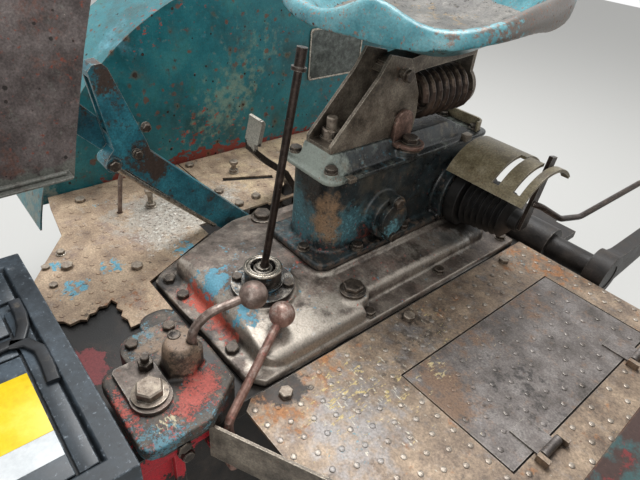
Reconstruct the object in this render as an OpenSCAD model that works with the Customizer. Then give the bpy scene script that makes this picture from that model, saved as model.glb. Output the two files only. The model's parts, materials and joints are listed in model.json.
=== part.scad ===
// Driver's station of a vintage farm tractor: gearbox housing with its cover, levers, lift housing,
// sprung pan seat, deck plates and rear mudguards.
// Part frame: X to the machine's left, Y rearwards from the engine flange, Z up from the crank line.
// Places on the station are in the deck frame: Y from its front line, Z from the deck's top.

/* [Station] */
// Height of the deck's top above the crank line
deck_z = 193; // [188:1:205]
// Distance from the engine flange back to the station's front line
deck_y = 150; // [145:5:165]
// Thickness of the deck plates
deck_t = 5; // [4:0.5:7]
// Rear edge of both decks
deck_rear = 955; // [950:5:970]
// Rear edge of the gearbox cover
cover_rear = 940; // [930:2:945]
// Side gap between a deck and the gearbox cover
deck_gap = 6; // [4:1:9]

/* [Gearbox] */
// Radius of the engine flange
flange_r = 200; // [196:1:206]
// Thickness of the engine flange
flange_t = 20; // [16:1:24]
// Bolt circle of the engine flange
flange_pcd = 374; // [370:1:378]
// Bolts round the engine flange
flange_bolts = 10; // [8:1:12]
// Radius of those bolt holes
flange_hole_r = 6.5; // [5:0.5:7.5]
// Half width of the housing
box_half = 165; // [155:1:172]
// Depth of the housing below the crank line
box_depth = 185; // [170:5:200]
// How far the housing runs back past the lift's cross shaft
box_past = 130; // [110:5:140]
// Half width of the top rail and of the cover's flange
rail_half = 186; // [182:1:190]
// Depth of the top rail
rail_t = 30; // [24:1:36]

/* [Gearbox cover] */
// Thickness of the cover's flange
cover_t = 16; // [12:1:20]
// Height of the cover's flange top above the deck
cover_top = 8; // [6:1:12]
// Height of the crown above the deck
crown_z = 50; // [46:1:54]
// Height of the crown at its shoulders
shoulder_z = 32; // [28:1:36]
// Radius of the long shoulders
shoulder_r = 18; // [12:1:20]
// Half width of the crown at the front
crown_half = 179; // [174:1:180]
// Half width of the crown behind the step
crown_half_rear = 146; // [140:1:152]
// Where the step in the crown's sides lies
crown_step = 504; // [490:2:516]

/* [Levers] */
// Diameter of the gear lever
lever_d = 12; // [10:0.5:14]
// Length of the gear lever from its ball
lever_len = 354; // [340:2:400]
// Lean of the gear lever to the rear, degrees
lever_lean = 8.5; // [4:0.5:12]
// Diameter of the ball knobs
knob_d = 40; // [36:1:44]
// Diameter of the short levers' rods
rod_d = 13; // [10:0.5:15]

/* [Lift housing] */
// Height of the lift housing's lid seat above the deck
lift_z = 205; // [200:1:212]
// Height of the lid
lid_h = 40; // [36:1:44]
// Half width of the lift housing's body
lift_half = 58; // [54:1:62]
// Front face of the lift housing
lift_front = 505; // [500:1:512]
// Rear face of the lift housing
lift_rear = 928; // [910:2:930]

/* [Seat] */
// Half width over the bracket's side plates
bracket_half = 31; // [28:1:34]
// Thickness of those plates
bracket_t = 6; // [5:0.5:8]
// Outer diameter of the coil spring
spring_d = 92; // [84:1:98]
// Diameter of the spring's wire
wire_d = 13; // [12:0.5:16]
// Turns of the spring
spring_turns = 7; // [5:1:9]
// Half width of the seat pan
seat_half = 208; // [200:2:215]
// Half length of the seat pan
seat_len = 228; // [216:2:234]
// Height of the seat pan's flat above the deck
seat_z = 386; // [382:1:392]
// Turn of the seat pan on its arm, degrees
seat_turn = 9.6; // [4:0.4:12]
// Thickness of the seat pan
seat_t = 3.5; // [3:0.5:5]

/* [Mudguards] */
// Inner face of the right mudguard from the gearbox's middle line
guard_right_x = 497; // [492:1:505]
// Inner face of the left mudguard from the gearbox's middle line
guard_left_x = 562; // [556:1:568]
// Radius of the mudguards' crown round the axle
guard_r = 620; // [600:5:630]
// Width of the crown
guard_w = 230; // [200:5:250]
// Thickness of the mudguards' sheet
guard_t = 4; // [3:0.5:5]

/* [Rear axle] */
// Distance from the station's front line back to the axle
axle_y = 783; // [775:1:790]
// Radius of an axle tube
tube_r = 62; // [54:1:68]
// Where the axle tubes' outer flanges end
tube_end = 455; // [445:5:460]
// Bolt circle of an outer flange
hub_pcd = 176; // [170:1:180]
// Bolts in an outer flange
hub_bolts = 8; // [6:1:10]
// Radius of the outer flange
hub_r = 108; // [104:1:112]

/* [Lift arms] */
// Radius of the lift's cross shaft
shaft_r = 26; // [22:1:28]
// Length of a lift arm from the shaft to its eye
arm_len = 300; // [260:5:340]
// Radius of the eye's bore
eye_r = 11; // [9:0.5:12]

/* [Battery] */
// Length of the battery across the machine
batt_l = 350; // [330:5:360]
// Width of the battery
batt_w = 176; // [170:1:180]
// Height of the battery
batt_h = 192; // [180:1:200]

/* [Hidden] */
$fn = 48;
fit = 0.3;                                   // running clearance between moving pieces
seat_cover_z = cover_top - cover_t;          // the housing's top rail, in the deck frame
rail_top = deck_z + seat_cover_z;
deck_in = rail_half + deck_gap;              // inner edge of the decks
rail_front = 90;                             // the top rail starts under the control box
axle = [0, deck_y + axle_y, 0];

lever_at = [50, 381];                        // the gear lever's collar
boss_y = 861;                                // the lift's side shaft, in the deck frame
boss_z = 98;
boss_r = 76;
boss_x = lift_half + 26;
collar_r = 66;
arm_y = 1005;                                // the lift arms' cross shaft
arm_z = -2;
carrier_half = 240;                          // half width of that shaft's carrier
box_len = deck_y + arm_y + box_past;

// Bolts of the gearbox cover: x, y in the deck frame
COVER_BOLTS = [[106, 287], [-45, 285], [-95, 285], [rail_half - 16, 518], [rail_half - 22, 712],
               [rail_half - 21, 918], [22 - rail_half, 712], [21 - rail_half, 918]];
// Bolts of the lift housing's foot: x, y
LIFT_BOLTS = [[18, 491], [lift_half + 11, 575], [lift_half + 11, 700], [-lift_half - 11, 575],
              [-lift_half - 11, 700]];
// Bolts of the left deck: x, y
DECK_BOLTS_L = [[207, 308], [204, 575], [205, 863]];
// Bolts of the right deck: x, y
DECK_BOLTS_R = [[-444, 255], [-169, 258], [-236, 158], [-458, 470]];

module at_deck() translate([0, deck_y, deck_z]) children();

// A rod of round section swept along a short list of points, rounded at each bend.
// side is a direction that the rod never runs along.
function unit(v) = v / norm(v);
function bends(p, r) = concat([p[0]],
    [for (i = [1 : len(p) - 2]) let (
         a = p[i] + r * unit(p[i - 1] - p[i]),
         b = p[i] + r * unit(p[i + 1] - p[i]))
     for (t = [0 : 0.25 : 1]) (1 - t) * (1 - t) * a + 2 * t * (1 - t) * p[i] + t * t * b],
    [p[len(p) - 1]]);
module bent_rod(points, d, side = [1, 0, 0], bend_r = 14, sides = 12) {
    path = bends(points, bend_r);
    n = len(path);
    pts = [for (i = [0 : n - 1]) let (
               t = unit(path[min(i + 1, n - 1)] - path[max(i - 1, 0)]),
               u = unit(side - (side * t) * t),
               w = cross(t, u))
           for (k = [0 : sides - 1])
               path[i] + d / 2 * (cos(360 * k / sides) * u + sin(360 * k / sides) * w)];
    polyhedron(pts, concat(
        [[for (k = [0 : sides - 1]) k]],
        [for (i = [0 : n - 2]) for (k = [0 : sides - 1]) let (m = (k + 1) % sides) each
            [[i * sides + k, (i + 1) * sides + m, i * sides + m],
             [i * sides + k, (i + 1) * sides + k, (i + 1) * sides + m]]],
        [[for (k = [sides - 1 : -1 : 0]) (n - 1) * sides + k]]));
}

// A plate cut from a side view: points are [y, z], set between two x values
module side_plate(points, x0, x1)
    translate([x0, 0, 0]) rotate([90, 0, 90]) linear_extrude(x1 - x0) polygon(points);

module round_rect(x0, x1, y0, y1, r) {
    difference() {
        translate([x0, y0]) square([x1 - x0, y1 - y0]);
        for (c = [[x0, y0, 1, 1], [x1, y0, -1, 1], [x0, y1, 1, -1], [x1, y1, -1, -1]])
            difference() {
                translate([c[2] > 0 ? c[0] - 1 : c[0] - r, c[3] > 0 ? c[1] - 1 : c[1] - r])
                    square(r + 1);
                translate([c[0] + c[2] * r, c[1] + c[3] * r]) circle(r);
            }
    }
}

// Gearbox and axle

module gearbox_housing() color([0.34, 0.36, 0.37]) {
    difference() {
        union() {
            rotate([-90, 0, 0]) cylinder(r = flange_r, h = flange_t, $fn = 96);
            rotate([-90, 0, 0]) cylinder(r = box_half, h = deck_y + rail_front, $fn = 96);
            translate([-box_half, 90, -box_depth])
                cube([2 * box_half, box_len - 90, box_depth + rail_top - rail_t]);
            translate([-rail_half, deck_y + rail_front, rail_top - rail_t])
                cube([2 * rail_half, box_len - deck_y - rail_front, rail_t]);
            for (s = [-1, 1]) translate([s * box_half, axle[1], 0]) rotate([0, s * 90, 0])
                cylinder(r = 118, h = 20, $fn = 96);
            translate([-carrier_half, deck_y + arm_y, deck_z + arm_z]) rotate([0, 90, 0])
                cylinder(r = shaft_r + 14, h = 2 * carrier_half);
            translate([-carrier_half, deck_y + arm_y - 29, rail_top - 16])
                cube([2 * carrier_half, box_past + 15, 16]);
            for (y = [300, 520, 740]) translate([-box_half - 12, y, -box_depth + 20])
                cube([2 * box_half + 24, 14, box_depth + rail_top - rail_t - 20]);
        }
        for (i = [0 : flange_bolts - 1]) rotate([0, (i + 0.5) * 360 / flange_bolts, 0])
            translate([flange_pcd / 2, -1, 0]) rotate([-90, 0, 0])
                cylinder(r = flange_hole_r, h = flange_t + 2);
        translate([-carrier_half - 1, deck_y + arm_y, deck_z + arm_z]) rotate([0, 90, 0])
            cylinder(r = shaft_r + fit, h = 2 * carrier_half + 2);
        // mouth of the clutch housing
        translate([0, -1, 0]) rotate([-90, 0, 0]) cylinder(r = 150, h = 81, $fn = 96);
    }
}

// Axle tube on one side: s is 1 on the left and -1 on the right
module axle_tube(s) color([0.30, 0.31, 0.32]) translate([s * (box_half + 20), axle[1], 0])
    rotate([0, s * 90, 0]) difference() {
        union() {
            cylinder(r = 112, h = 22, $fn = 96);
            cylinder(r = tube_r, h = tube_end - box_half - 20, $fn = 96);
            translate([0, 0, 22]) cylinder(r1 = 84, r2 = tube_r, h = 60, $fn = 96);
            translate([0, 0, tube_end - box_half - 20 - 20]) cylinder(r = hub_r, h = 20, $fn = 96);
            translate([0, 0, tube_end - box_half - 20 - 60]) cylinder(r1 = tube_r, r2 = 82, h = 40);
        }
        for (i = [0 : hub_bolts - 1]) rotate([0, 0, i * 360 / hub_bolts])
            translate([hub_pcd / 2, 0, tube_end - box_half - 41]) cylinder(r = 7, h = 25);
        translate([0, 0, tube_end - box_half - 20 - 50]) cylinder(r = 36, h = 60);
    }
module axle_tube_left() axle_tube(1);
module axle_tube_right() axle_tube(-1);

// Gearbox cover

module cover_outline() polygon([
    [-rail_half, 430], [-125, 285], [-108, 264], [38, 269], [159, 273], [rail_half, 296],
    [rail_half, cover_rear], [-rail_half, cover_rear]]);

// Section of the crown across the machine: a flat arc between round shoulders
module crown_section(half) {
    rise = crown_z - shoulder_z;
    flat = half - shoulder_r;
    arc_r = (flat * flat + rise * rise) / (2 * rise);
    intersection() {
        translate([-flat, cover_top - 2]) square([2 * flat, crown_z]);
        translate([0, crown_z - arc_r]) circle(arc_r, $fn = 360);
    }
    difference() {
        translate([-half, cover_top - 2]) square([2 * half, shoulder_z - cover_top + 2]);
        for (s = [-1, 1]) difference() {
            translate([s > 0 ? flat : -half - 1, shoulder_z - shoulder_r])
                square([shoulder_r + 1, shoulder_r + 1]);
            translate([s * flat, shoulder_z - shoulder_r]) circle(shoulder_r);
        }
    }
}

// A wall along +y with its round shoulder at x = 0
module shoulder_edge(len) rotate([90, 0, 0]) translate([0, 0, -len]) linear_extrude(2 * len) union() {
    translate([shoulder_r + 4, 0]) square([420, crown_z + 1]);
    square([shoulder_r + 5, crown_z - shoulder_r - 6]);
    intersection() {
        translate([shoulder_r + 4, crown_z - shoulder_r - 6]) circle(shoulder_r + 4);
        square([shoulder_r + 5, crown_z + 1]);
    }
}

module crown_front() intersection() {
    translate([0, crown_step, 0]) rotate([90, 0, 0]) linear_extrude(crown_step - 302)
        crown_section(crown_half);
    linear_extrude(crown_z + 1) round_rect(-crown_half, crown_half, 302, crown_step + 60, 34);
    rotate([90, 0, 90]) translate([0, 0, -crown_half]) linear_extrude(2 * crown_half)
        polygon([[302, 0], [crown_step, 0], [crown_step, crown_z + 1], [370, crown_z + 1],
                 [334, crown_z - 1], [318, crown_z - 4], [309, crown_z - 11], [304, crown_z - 24]]);
    // the right side slants in towards the front
    translate([-102, 295, 0]) rotate([0, 0, 22.8]) shoulder_edge(320);
}

module crown_rear() intersection() {
    translate([0, 900, 0]) rotate([90, 0, 0]) linear_extrude(480) crown_section(crown_half_rear);
    linear_extrude(crown_z + 1) round_rect(-crown_half_rear, crown_half_rear, 380, 900, 34);
    rotate([90, 0, 90]) translate([0, 0, -crown_half_rear]) linear_extrude(2 * crown_half_rear)
        polygon([[420, 0], [900, 0], [898, crown_z - 28], [890, crown_z - 14], [876, crown_z - 5],
                 [858, crown_z + 1], [420, crown_z + 1]]);
}

module gearbox_cover() color([0.52, 0.50, 0.48]) at_deck() difference() {
    union() {
        translate([0, 0, seat_cover_z]) linear_extrude(cover_t) cover_outline();
        crown_front();
        crown_rear();
        // boss of the filler plug on the left, and its like on the right
        for (s = [-1, 1]) translate([s * 134, 508, cover_top]) cylinder(r = 29, h = shoulder_z - 2);
        translate([lever_at[0], lever_at[1], cover_top]) cylinder(r = 57, h = crown_z - cover_top + 2);
        translate([0, 0, cover_top]) linear_extrude(crown_z - cover_top)
            round_rect(-84, 84, 470, lift_rear + 12, 30);
    }
    for (b = COVER_BOLTS) translate([b[0], b[1], seat_cover_z - 1]) cylinder(r = 5.5, h = cover_t + 2);
    // throat under the gear lever's ball
    translate([lever_at[0], lever_at[1], seat_cover_z - 1]) cylinder(r = 24, h = crown_z + cover_t + 2);
}

// Gear lever

collar_z = crown_z + 2;
ball_z = collar_z + 22;
module shift_collar() color([0.45, 0.45, 0.42]) at_deck()
    translate([lever_at[0], lever_at[1], collar_z]) difference() {
        union() {
            cylinder(r = 51.5, h = 9);
            cylinder(r = 34, h = 15);
            cylinder(r = 30, h = 38);
        }
        translate([0, 0, -1]) cylinder(r = 17 + fit, h = 41);
        translate([0, 0, 28]) cylinder(r1 = 18, r2 = 26, h = 10.01);
        // slot for the ball's cross pin
        translate([-23, -4 - fit, 8]) cube([46, 8 + 2 * fit, 31]);
        for (a = [45, 135, 225, 315]) rotate([0, 0, a]) translate([42, 0, -1])
            cylinder(r = 5, h = 12);
    }

module gear_lever() color([0.20, 0.17, 0.15]) at_deck() translate([lever_at[0], lever_at[1], ball_z]) {
    translate([-22, 0, 0]) rotate([0, 90, 0]) cylinder(r = 4, h = 44);
    rotate([-lever_lean, 0, 0]) {
        sphere(r = 17);
        cylinder(d = lever_d, h = lever_len);
        translate([0, 0, 12]) cylinder(r1 = 9, r2 = lever_d / 2, h = 20);
        translate([0, 0, lever_len - 26]) cylinder(d = lever_d + 9, h = 5);
        translate([0, 0, lever_len - 21]) cylinder(d = lever_d + 3, h = 25);
    }
}

// Control box in front of the cover

ctrl_x = [72, 216];
ctrl_y = [100, 250];
ctrl_z = 42;
turret = [115, 201];
module control_box() color([0.62, 0.36, 0.34]) at_deck() difference() {
    union() {
        translate([0, 0, ctrl_z - 18]) linear_extrude(18) difference() {
            round_rect(ctrl_x[0], ctrl_x[1], ctrl_y[0], ctrl_y[1], 18);
            polygon([[ctrl_x[1] + 1, 190], [ctrl_x[1] - 44, ctrl_y[1] + 1], [ctrl_x[1] + 1, ctrl_y[1] + 1]]);
        }
        translate([0, 0, seat_cover_z]) linear_extrude(ctrl_z - seat_cover_z - 10) difference() {
            round_rect(ctrl_x[0] + 10, ctrl_x[1] - 17, ctrl_y[0] + 17, ctrl_y[1] - 4, 14);
            polygon([[ctrl_x[1] - 16, 212], [ctrl_x[1] - 39, ctrl_y[1]], [ctrl_x[1] - 16, ctrl_y[1]]]);
        }
        // lower arm of the casting to the right, with its round end
        translate([0, 0, seat_cover_z]) linear_extrude(ctrl_z - 6 - seat_cover_z)
            round_rect(18, 90, 142, 244, 30);
        translate([0, 0, seat_cover_z]) linear_extrude(ctrl_z - 16 - seat_cover_z)
            round_rect(-20, 60, 190, 250, 24);
        translate([turret[0], turret[1], ctrl_z - 1]) cylinder(r = 30, h = 10, $fn = 6);
        translate([turret[0], turret[1], ctrl_z + 8]) cylinder(r1 = 27, r2 = 24, h = 30);
        translate([turret[0], turret[1], ctrl_z + 38]) cylinder(r1 = 24, r2 = 19, h = 8);
        translate([turret[0] + 7, turret[1] + 13, ctrl_z + 8]) cylinder(r = 15, h = 26);
    }
    translate([turret[0] + 8, turret[1] + 14, ctrl_z - 20]) cylinder(d = rod_d + 2 * fit, h = 70);
}

module control_plate() color([0.45, 0.46, 0.46]) at_deck() translate([0, 0, ctrl_z]) difference() {
    linear_extrude(6) union() {
        round_rect(76, 148, 117, 170, 8);
        translate([144, 143]) circle(27);
    }
    for (b = [[144, 143, 10], [96, 158, 6]]) translate([b[0], b[1], -1]) cylinder(r = b[2], h = 9);
}

// Bent lever with a ball knob, out of the control box
selector_route = [[123, 215, 24], [123, 215, 104], [124, 240, 124], [131, 288, 130]];
module selector_lever() color([0.30, 0.27, 0.25]) at_deck() {
    bent_rod(selector_route, rod_d);
    translate([136, 304, 133]) sphere(d = knob_d);
}

// Straight lever with a ball knob, pivoted on the housing's side
range_at = [rail_half + 34, 218, -62];
range_route = [[range_at[0], 218, -52], [214, 212, 10], [141, 346, 60]];
module range_lever() color([0.50, 0.36, 0.33]) at_deck() {
    bent_rod(range_route, rod_d);
    translate([135, 357, 67]) sphere(d = knob_d);
    translate(range_at) rotate([0, 90, 0]) translate([0, 0, -11]) difference() {
        cylinder(r = 15, h = 22);
        translate([0, 0, -1]) cylinder(r = 8 + fit, h = 24);
    }
}
module range_pivot() color([0.36, 0.36, 0.36]) at_deck() {
    translate([box_half, range_at[1], range_at[2]]) rotate([0, 90, 0])
        cylinder(r = 20, h = rail_half + 23 - box_half - fit);
    translate([box_half, range_at[1], range_at[2]]) rotate([0, 90, 0])
        cylinder(r = 8, h = rail_half + 50 - box_half);
}

// Lift housing and seat

side_boss = [636, 115];                      // the control shaft's boss: y, z
module lift_housing() color([0.16, 0.24, 0.27]) at_deck() difference() {
    union() {
        translate([0, 0, crown_z]) linear_extrude(13)
            round_rect(-lift_half - 22, lift_half + 22, 478, lift_rear + 8, 24);
        translate([0, 0, crown_z]) linear_extrude(lift_z - crown_z)
            round_rect(-lift_half, lift_half, lift_front, lift_rear, 34);
        // boss of the control shaft on both sides
        translate([-boss_x, side_boss[0], side_boss[1]]) rotate([0, 90, 0]) cylinder(r = 43, h = 2 * boss_x);
        // boss of the rear cross shaft, cut level with the foot
        intersection() {
            translate([-boss_x, boss_y, boss_z]) rotate([0, 90, 0]) cylinder(r = boss_r, h = 2 * boss_x);
            translate([-boss_x - 1, boss_y - 100, crown_z]) cube([2 * boss_x + 2, 200, 200]);
        }
    }
    for (b = LIFT_BOLTS) translate([b[0], b[1], crown_z - 1]) cylinder(r = 5.5, h = 17);
    // the lift's cylinder well, closed by the lid
    translate([0, 0, crown_z + 40]) linear_extrude(lift_z)
        round_rect(-lift_half + 16, lift_half - 16, lift_front + 30, 780, 14);
}

// Bolts of the lid: x, y, radius of the spot face, its height above the lid's seat
LID_BOLTS = [[46, 512, 13, 18], [-46, 512, 13, 18], [41, 908, 14, 8], [-41, 908, 14, 8],
             [46, 688, 24, 22]];
module lift_lid() color([0.40, 0.48, 0.50]) at_deck() difference() {
    union() {
        translate([0, 0, lift_z]) linear_extrude(8) round_rect(-65, 65, lift_front - 10, lift_rear + 2, 22);
        // raised seat carrier with sloped sides
        intersection() {
            side_plate([[503, lift_z], [503, lift_z + 8], [521, lift_z + lid_h], [825, lift_z + lid_h],
                        [893, lift_z + 8], [893, lift_z]], -63, 63);
            translate([0, 900, 0]) rotate([90, 0, 0]) linear_extrude(410)
                polygon([[-50, lift_z], [-50, lift_z + 8], [-35, lift_z + lid_h], [35, lift_z + lid_h],
                         [50, lift_z + 8], [50, lift_z]]);
        }
        for (b = LID_BOLTS) translate([b[0], b[1], lift_z]) cylinder(r = b[2], h = b[3]);
    }
    for (b = LID_BOLTS) {
        translate([b[0], b[1], lift_z + b[3]]) cylinder(r = b[2], h = 40);
        translate([b[0], b[1], lift_z - 1]) cylinder(r = 5.5, h = 40);
    }
}

module lift_side_cap() color([0.22, 0.36, 0.40]) at_deck() translate([boss_x, side_boss[0], side_boss[1]])
    rotate([0, 90, 0]) linear_extrude(11) {
        circle(32);
        for (s = [-1, 1]) translate([s * 36, 0]) circle(12);
        translate([-36, -11]) square([72, 22]);
    }

// Upright wall round the lid's rear end
module lid_loop() color([0.60, 0.60, 0.56]) at_deck() translate([0, 0, lift_z + 8]) difference() {
    linear_extrude(21) difference() {
        round_rect(-55, 55, 872, lift_rear - 8, 20);
        round_rect(-50, 50, 877, lift_rear - 13, 15);
    }
    translate([-70, 860, -1]) cube([140, 34, 30]);
}

// Seat bracket: two tall plates, a foot and a rear web, bent from one sheet
br_base = lift_z + lid_h;
module seat_bracket() color([0.36, 0.33, 0.30]) at_deck() difference() {
    union() {
        for (s = [-1, 1])
            side_plate([[521, br_base], [718, br_base], [720, 280], [716, 315], [700, 345], [681, 378],
                        [632, 389], [612, 358], [521, br_base + 13]],
                       s > 0 ? bracket_half - bracket_t : -bracket_half,
                       s > 0 ? bracket_half : -bracket_half + bracket_t);
        translate([-bracket_half, 522, br_base]) cube([2 * bracket_half, 190, bracket_t]);
        side_plate([[711, br_base], [718, br_base], [720, 280], [716, 315], [709, 315], [713, 280]],
                   -bracket_half, bracket_half);
        translate([-bracket_half - 8, 676, br_base + 27]) rotate([0, 90, 0])
            cylinder(r = 16, h = 2 * bracket_half + 16);
    }
    translate([-60, 664, 356]) rotate([0, 90, 0]) cylinder(r = 8 + fit, h = 120);
    translate([-10, 558, br_base - 1]) cylinder(r = 9, h = 20);
    translate([-60, 676, br_base + 27]) rotate([0, 90, 0]) cylinder(r = 9, h = 120);
}

spring_z = 300;
spring_y0 = 721;
spring_len = 145;
spring_y1 = spring_y0 + spring_len;
module seat_arm() color([0.24, 0.22, 0.20]) at_deck() difference() {
    union() {
        side_plate([[648, 350], [676, 343], [716, 352], [spring_y1, 362], [spring_y1, spring_z + 20],
                    [spring_y1 + 9, spring_z + 20], [spring_y1 + 9, seat_z - 10], [850, seat_z],
                    [770, seat_z], [720, seat_z - 6], [668, 372]], -bracket_half + bracket_t + fit,
                   bracket_half - bracket_t - fit);
        translate([0, spring_y1, spring_z]) rotate([-90, 0, 0]) cylinder(r = 40, h = 9);
    }
    translate([-60, 664, 356]) rotate([0, 90, 0]) cylinder(r = 8 + fit, h = 120);
}

// Hinge pin of the arm, and the spacer bolt between the bracket's plates
module arm_pin() color([0.42, 0.34, 0.28]) at_deck() translate([-bracket_half - 10, 664, 356])
    rotate([0, 90, 0]) cylinder(r = 8, h = 2 * bracket_half + 20);
module bracket_bolt() color([0.42, 0.34, 0.28]) at_deck()
    translate([-bracket_half - 8, 676, br_base + 27]) rotate([0, 90, 0])
        cylinder(r = 9 - fit, h = 2 * bracket_half + 16);

// Coil spring: a tube swept along a helix
module coil(r, d, len, turns, per_turn = 18, sides = 8) {
    n = turns * per_turn;
    pts = [for (i = [0 : n]) let (
               t = i / per_turn,
               pitch = (len - d) / turns,
               c = [r * cos(360 * t), d / 2 + pitch * t, r * sin(360 * t)],
               out = [cos(360 * t), 0, sin(360 * t)])
           for (k = [0 : sides - 1]) let (a = 360 * k / sides)
               c + d / 2 * (cos(a) * out + sin(a) * [0, 1, 0])];
    side_faces = [for (i = [0 : n - 1]) for (k = [0 : sides - 1]) let (m = (k + 1) % sides)
                  [i * sides + k, i * sides + m, (i + 1) * sides + m, (i + 1) * sides + k]];
    polyhedron(concat(pts), concat(side_faces,
        [[for (k = [sides - 1 : -1 : 0]) k]], [[for (k = [0 : sides - 1]) n * sides + k]]));
}

module seat_spring() color([0.22, 0.17, 0.14]) at_deck() translate([0, spring_y0 + fit, spring_z])
    coil((spring_d - wire_d) / 2, wire_d, spring_len - 2 * fit, spring_turns);

// Seat pan: one pressed sheet. At each angle its section runs from the flat up to the
// crest, rolls over and ends in a skirt; a hump stands between the thighs at the front.
seat_at = [-23, 768];
pan_seg = 72;
function rim_r(a) = pow(pow(abs(cos(a)) / seat_half, 3.5) + pow(abs(sin(a)) / seat_len, 3.5), -1 / 3.5);
function rim_h(a) = 28 + 48 * pow(cos(a), 2) + 87 * pow(max(0, sin(a)), 1.6)
    + 8 * exp(-pow((a - 272) / 16, 2));
function lip_h(a) = 20 + 34 * exp(-pow((a - 279) / 17, 2));
function skirt(a) = max(3, 23 + 31 * sin(a));
function bowl(a, u) = u < 0.36 ? 0 : (rim_h(a) + lip_h(a) - 3) * pow((u - 0.36) / 0.53, 1.9);
function pan_section(a) = let (r = rim_r(a), z = rim_h(a), h = lip_h(a)) concat(
    [for (u = [0.36, 0.5, 0.62, 0.73, 0.82]) [u * r, bowl(a, u)]],
    [[0.88 * r, z + h - 4], [0.925 * r, z + h], [0.965 * r, z + 0.86 * h], [0.992 * r, z + 0.5 * h],
     [r, z], [0.994 * r, z - skirt(a)]]);

module pan_sheet(t) {
    nr = 11;
    function pt(a, p) = [p[0] * cos(a), p[0] * sin(a), p[1]];
    secs = [for (j = [0 : pan_seg - 1]) pan_section(360 * j / pan_seg)];
    // the same section moved by the sheet's thickness along its own normal
    low_secs = [for (sec = secs) [for (i = [0 : nr - 1]) let (
        d = i == 0 ? [1, 0] : unit(sec[min(i + 1, nr - 1)] - sec[i - 1])) sec[i] + t * [d[1], -d[0]]]];
    top = [for (i = [0 : nr - 1]) for (j = [0 : pan_seg - 1]) pt(360 * j / pan_seg, secs[j][i])];
    low = [for (i = [0 : nr - 1]) for (j = [0 : pan_seg - 1]) pt(360 * j / pan_seg, low_secs[j][i])];
    n = nr * pan_seg;
    function nx(j) = (j + 1) % pan_seg;
    faces_top = [for (i = [0 : nr - 2]) for (j = [0 : pan_seg - 1]) each
        [[i * pan_seg + j, (i + 1) * pan_seg + nx(j), (i + 1) * pan_seg + j],
         [i * pan_seg + j, i * pan_seg + nx(j), (i + 1) * pan_seg + nx(j)]]];
    faces_low = [for (f = faces_top) [n + f[0], n + f[2], n + f[1]]];
    rim = [for (j = [0 : pan_seg - 1]) let (k = (nr - 1) * pan_seg) each
        [[k + j, k + nx(j), n + k + nx(j)], [k + j, n + k + nx(j), n + k + j]]];
    polyhedron(concat(top, low), concat(faces_top, faces_low, rim,
        [[for (j = [0 : pan_seg - 1]) pan_seg - 1 - j]], [[for (j = [0 : pan_seg - 1]) n + j]]));
}

module at_seat() at_deck() translate([seat_at[0], seat_at[1], seat_z]) rotate([0, 0, seat_turn]) children();
module seat_pan() color([0.36, 0.62, 0.72]) at_seat() translate([0, 0, seat_t]) pan_sheet(seat_t);

// Worn pad in the pan: it follows the bowl and is thickest in the middle
CUSHION_RINGS = [0.2, 0.36, 0.5, 0.6, 0.68];
function pad_top(a, u) = bowl(a, u) + 4 + 22 * sqrt(max(0, 1 - pow(u / 0.69, 2)));
module seat_cushion() color([0.62, 0.60, 0.57]) at_seat() translate([0, 0, seat_t + fit]) cushion_pad();
module cushion_pad() {
    nr = len(CUSHION_RINGS);
    seg = 36;
    top = [for (u = CUSHION_RINGS) for (j = [0 : seg - 1]) let (a = 360 * j / seg)
           [rim_r(a) * u * cos(a), rim_r(a) * u * sin(a), pad_top(a, u)]];
    low = [for (u = CUSHION_RINGS) for (j = [0 : seg - 1]) let (a = 360 * j / seg)
           [rim_r(a) * u * cos(a), rim_r(a) * u * sin(a), bowl(a, u) + 1.7]];
    n = nr * seg;
    function nx(j) = (j + 1) % seg;
    faces_top = [for (i = [0 : nr - 2]) for (j = [0 : seg - 1]) each
        [[i * seg + j, (i + 1) * seg + nx(j), (i + 1) * seg + j],
         [i * seg + j, i * seg + nx(j), (i + 1) * seg + nx(j)]]];
    faces_low = [for (f = faces_top) [n + f[0], n + f[2], n + f[1]]];
    edge = [for (j = [0 : seg - 1]) let (k = (nr - 1) * seg) each
        [[k + j, k + nx(j), n + k + nx(j)], [k + j, n + k + nx(j), n + k + j]]];
    polyhedron(concat(top, low), concat(faces_top, faces_low, edge,
        [for (j = [1 : seg - 2]) [0, j + 1, j]], [for (j = [1 : seg - 2]) [n, n + j, n + j + 1]]));
}

// Decks

hatch_x = [290, 490];
hatch_y = [470, 892];
hatch_gap = 2.5;
bar_rear = deck_rear - 55;                   // cross bars of the frames under the decks
bars_left = [290, 430];
bars_right = [225, 486];
hinge_x = hatch_x[1] + 10;
hinge_z = 7;
HINGE_Y = [540, 820];

module deck_left() color([0.55, 0.46, 0.38]) at_deck() {
    difference() {
        translate([0, 0, -deck_t]) linear_extrude(deck_t)
            polygon([[deck_in + 14, 247], [apron_at[0] + (247 - apron_at[1]) / tan(apron_slope), 247],
                     [guard_left_x - 4, apron_at[1] + (guard_left_x - 4 - apron_at[0]) * tan(apron_slope)],
                     [guard_left_x - 4, deck_rear], [deck_in, deck_rear], [deck_in, 264]]);
        translate([hatch_x[0], hatch_y[0], -deck_t - 1])
            cube([hatch_x[1] - hatch_x[0], hatch_y[1] - hatch_y[0], deck_t + 2]);
        for (b = DECK_BOLTS_L) translate([b[0] + 8, b[1], -deck_t - 1]) cylinder(r = 5.5, h = deck_t + 2);
    }
    // hinge pins on lugs
    for (y = HINGE_Y) {
        translate([hinge_x, y - 30, hinge_z]) rotate([-90, 0, 0]) cylinder(r = 3, h = 60);
        for (e = [-30, 22]) translate([hinge_x - 5, y + e, 0]) cube([18, 8, hinge_z + 5]);
    }
}

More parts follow.
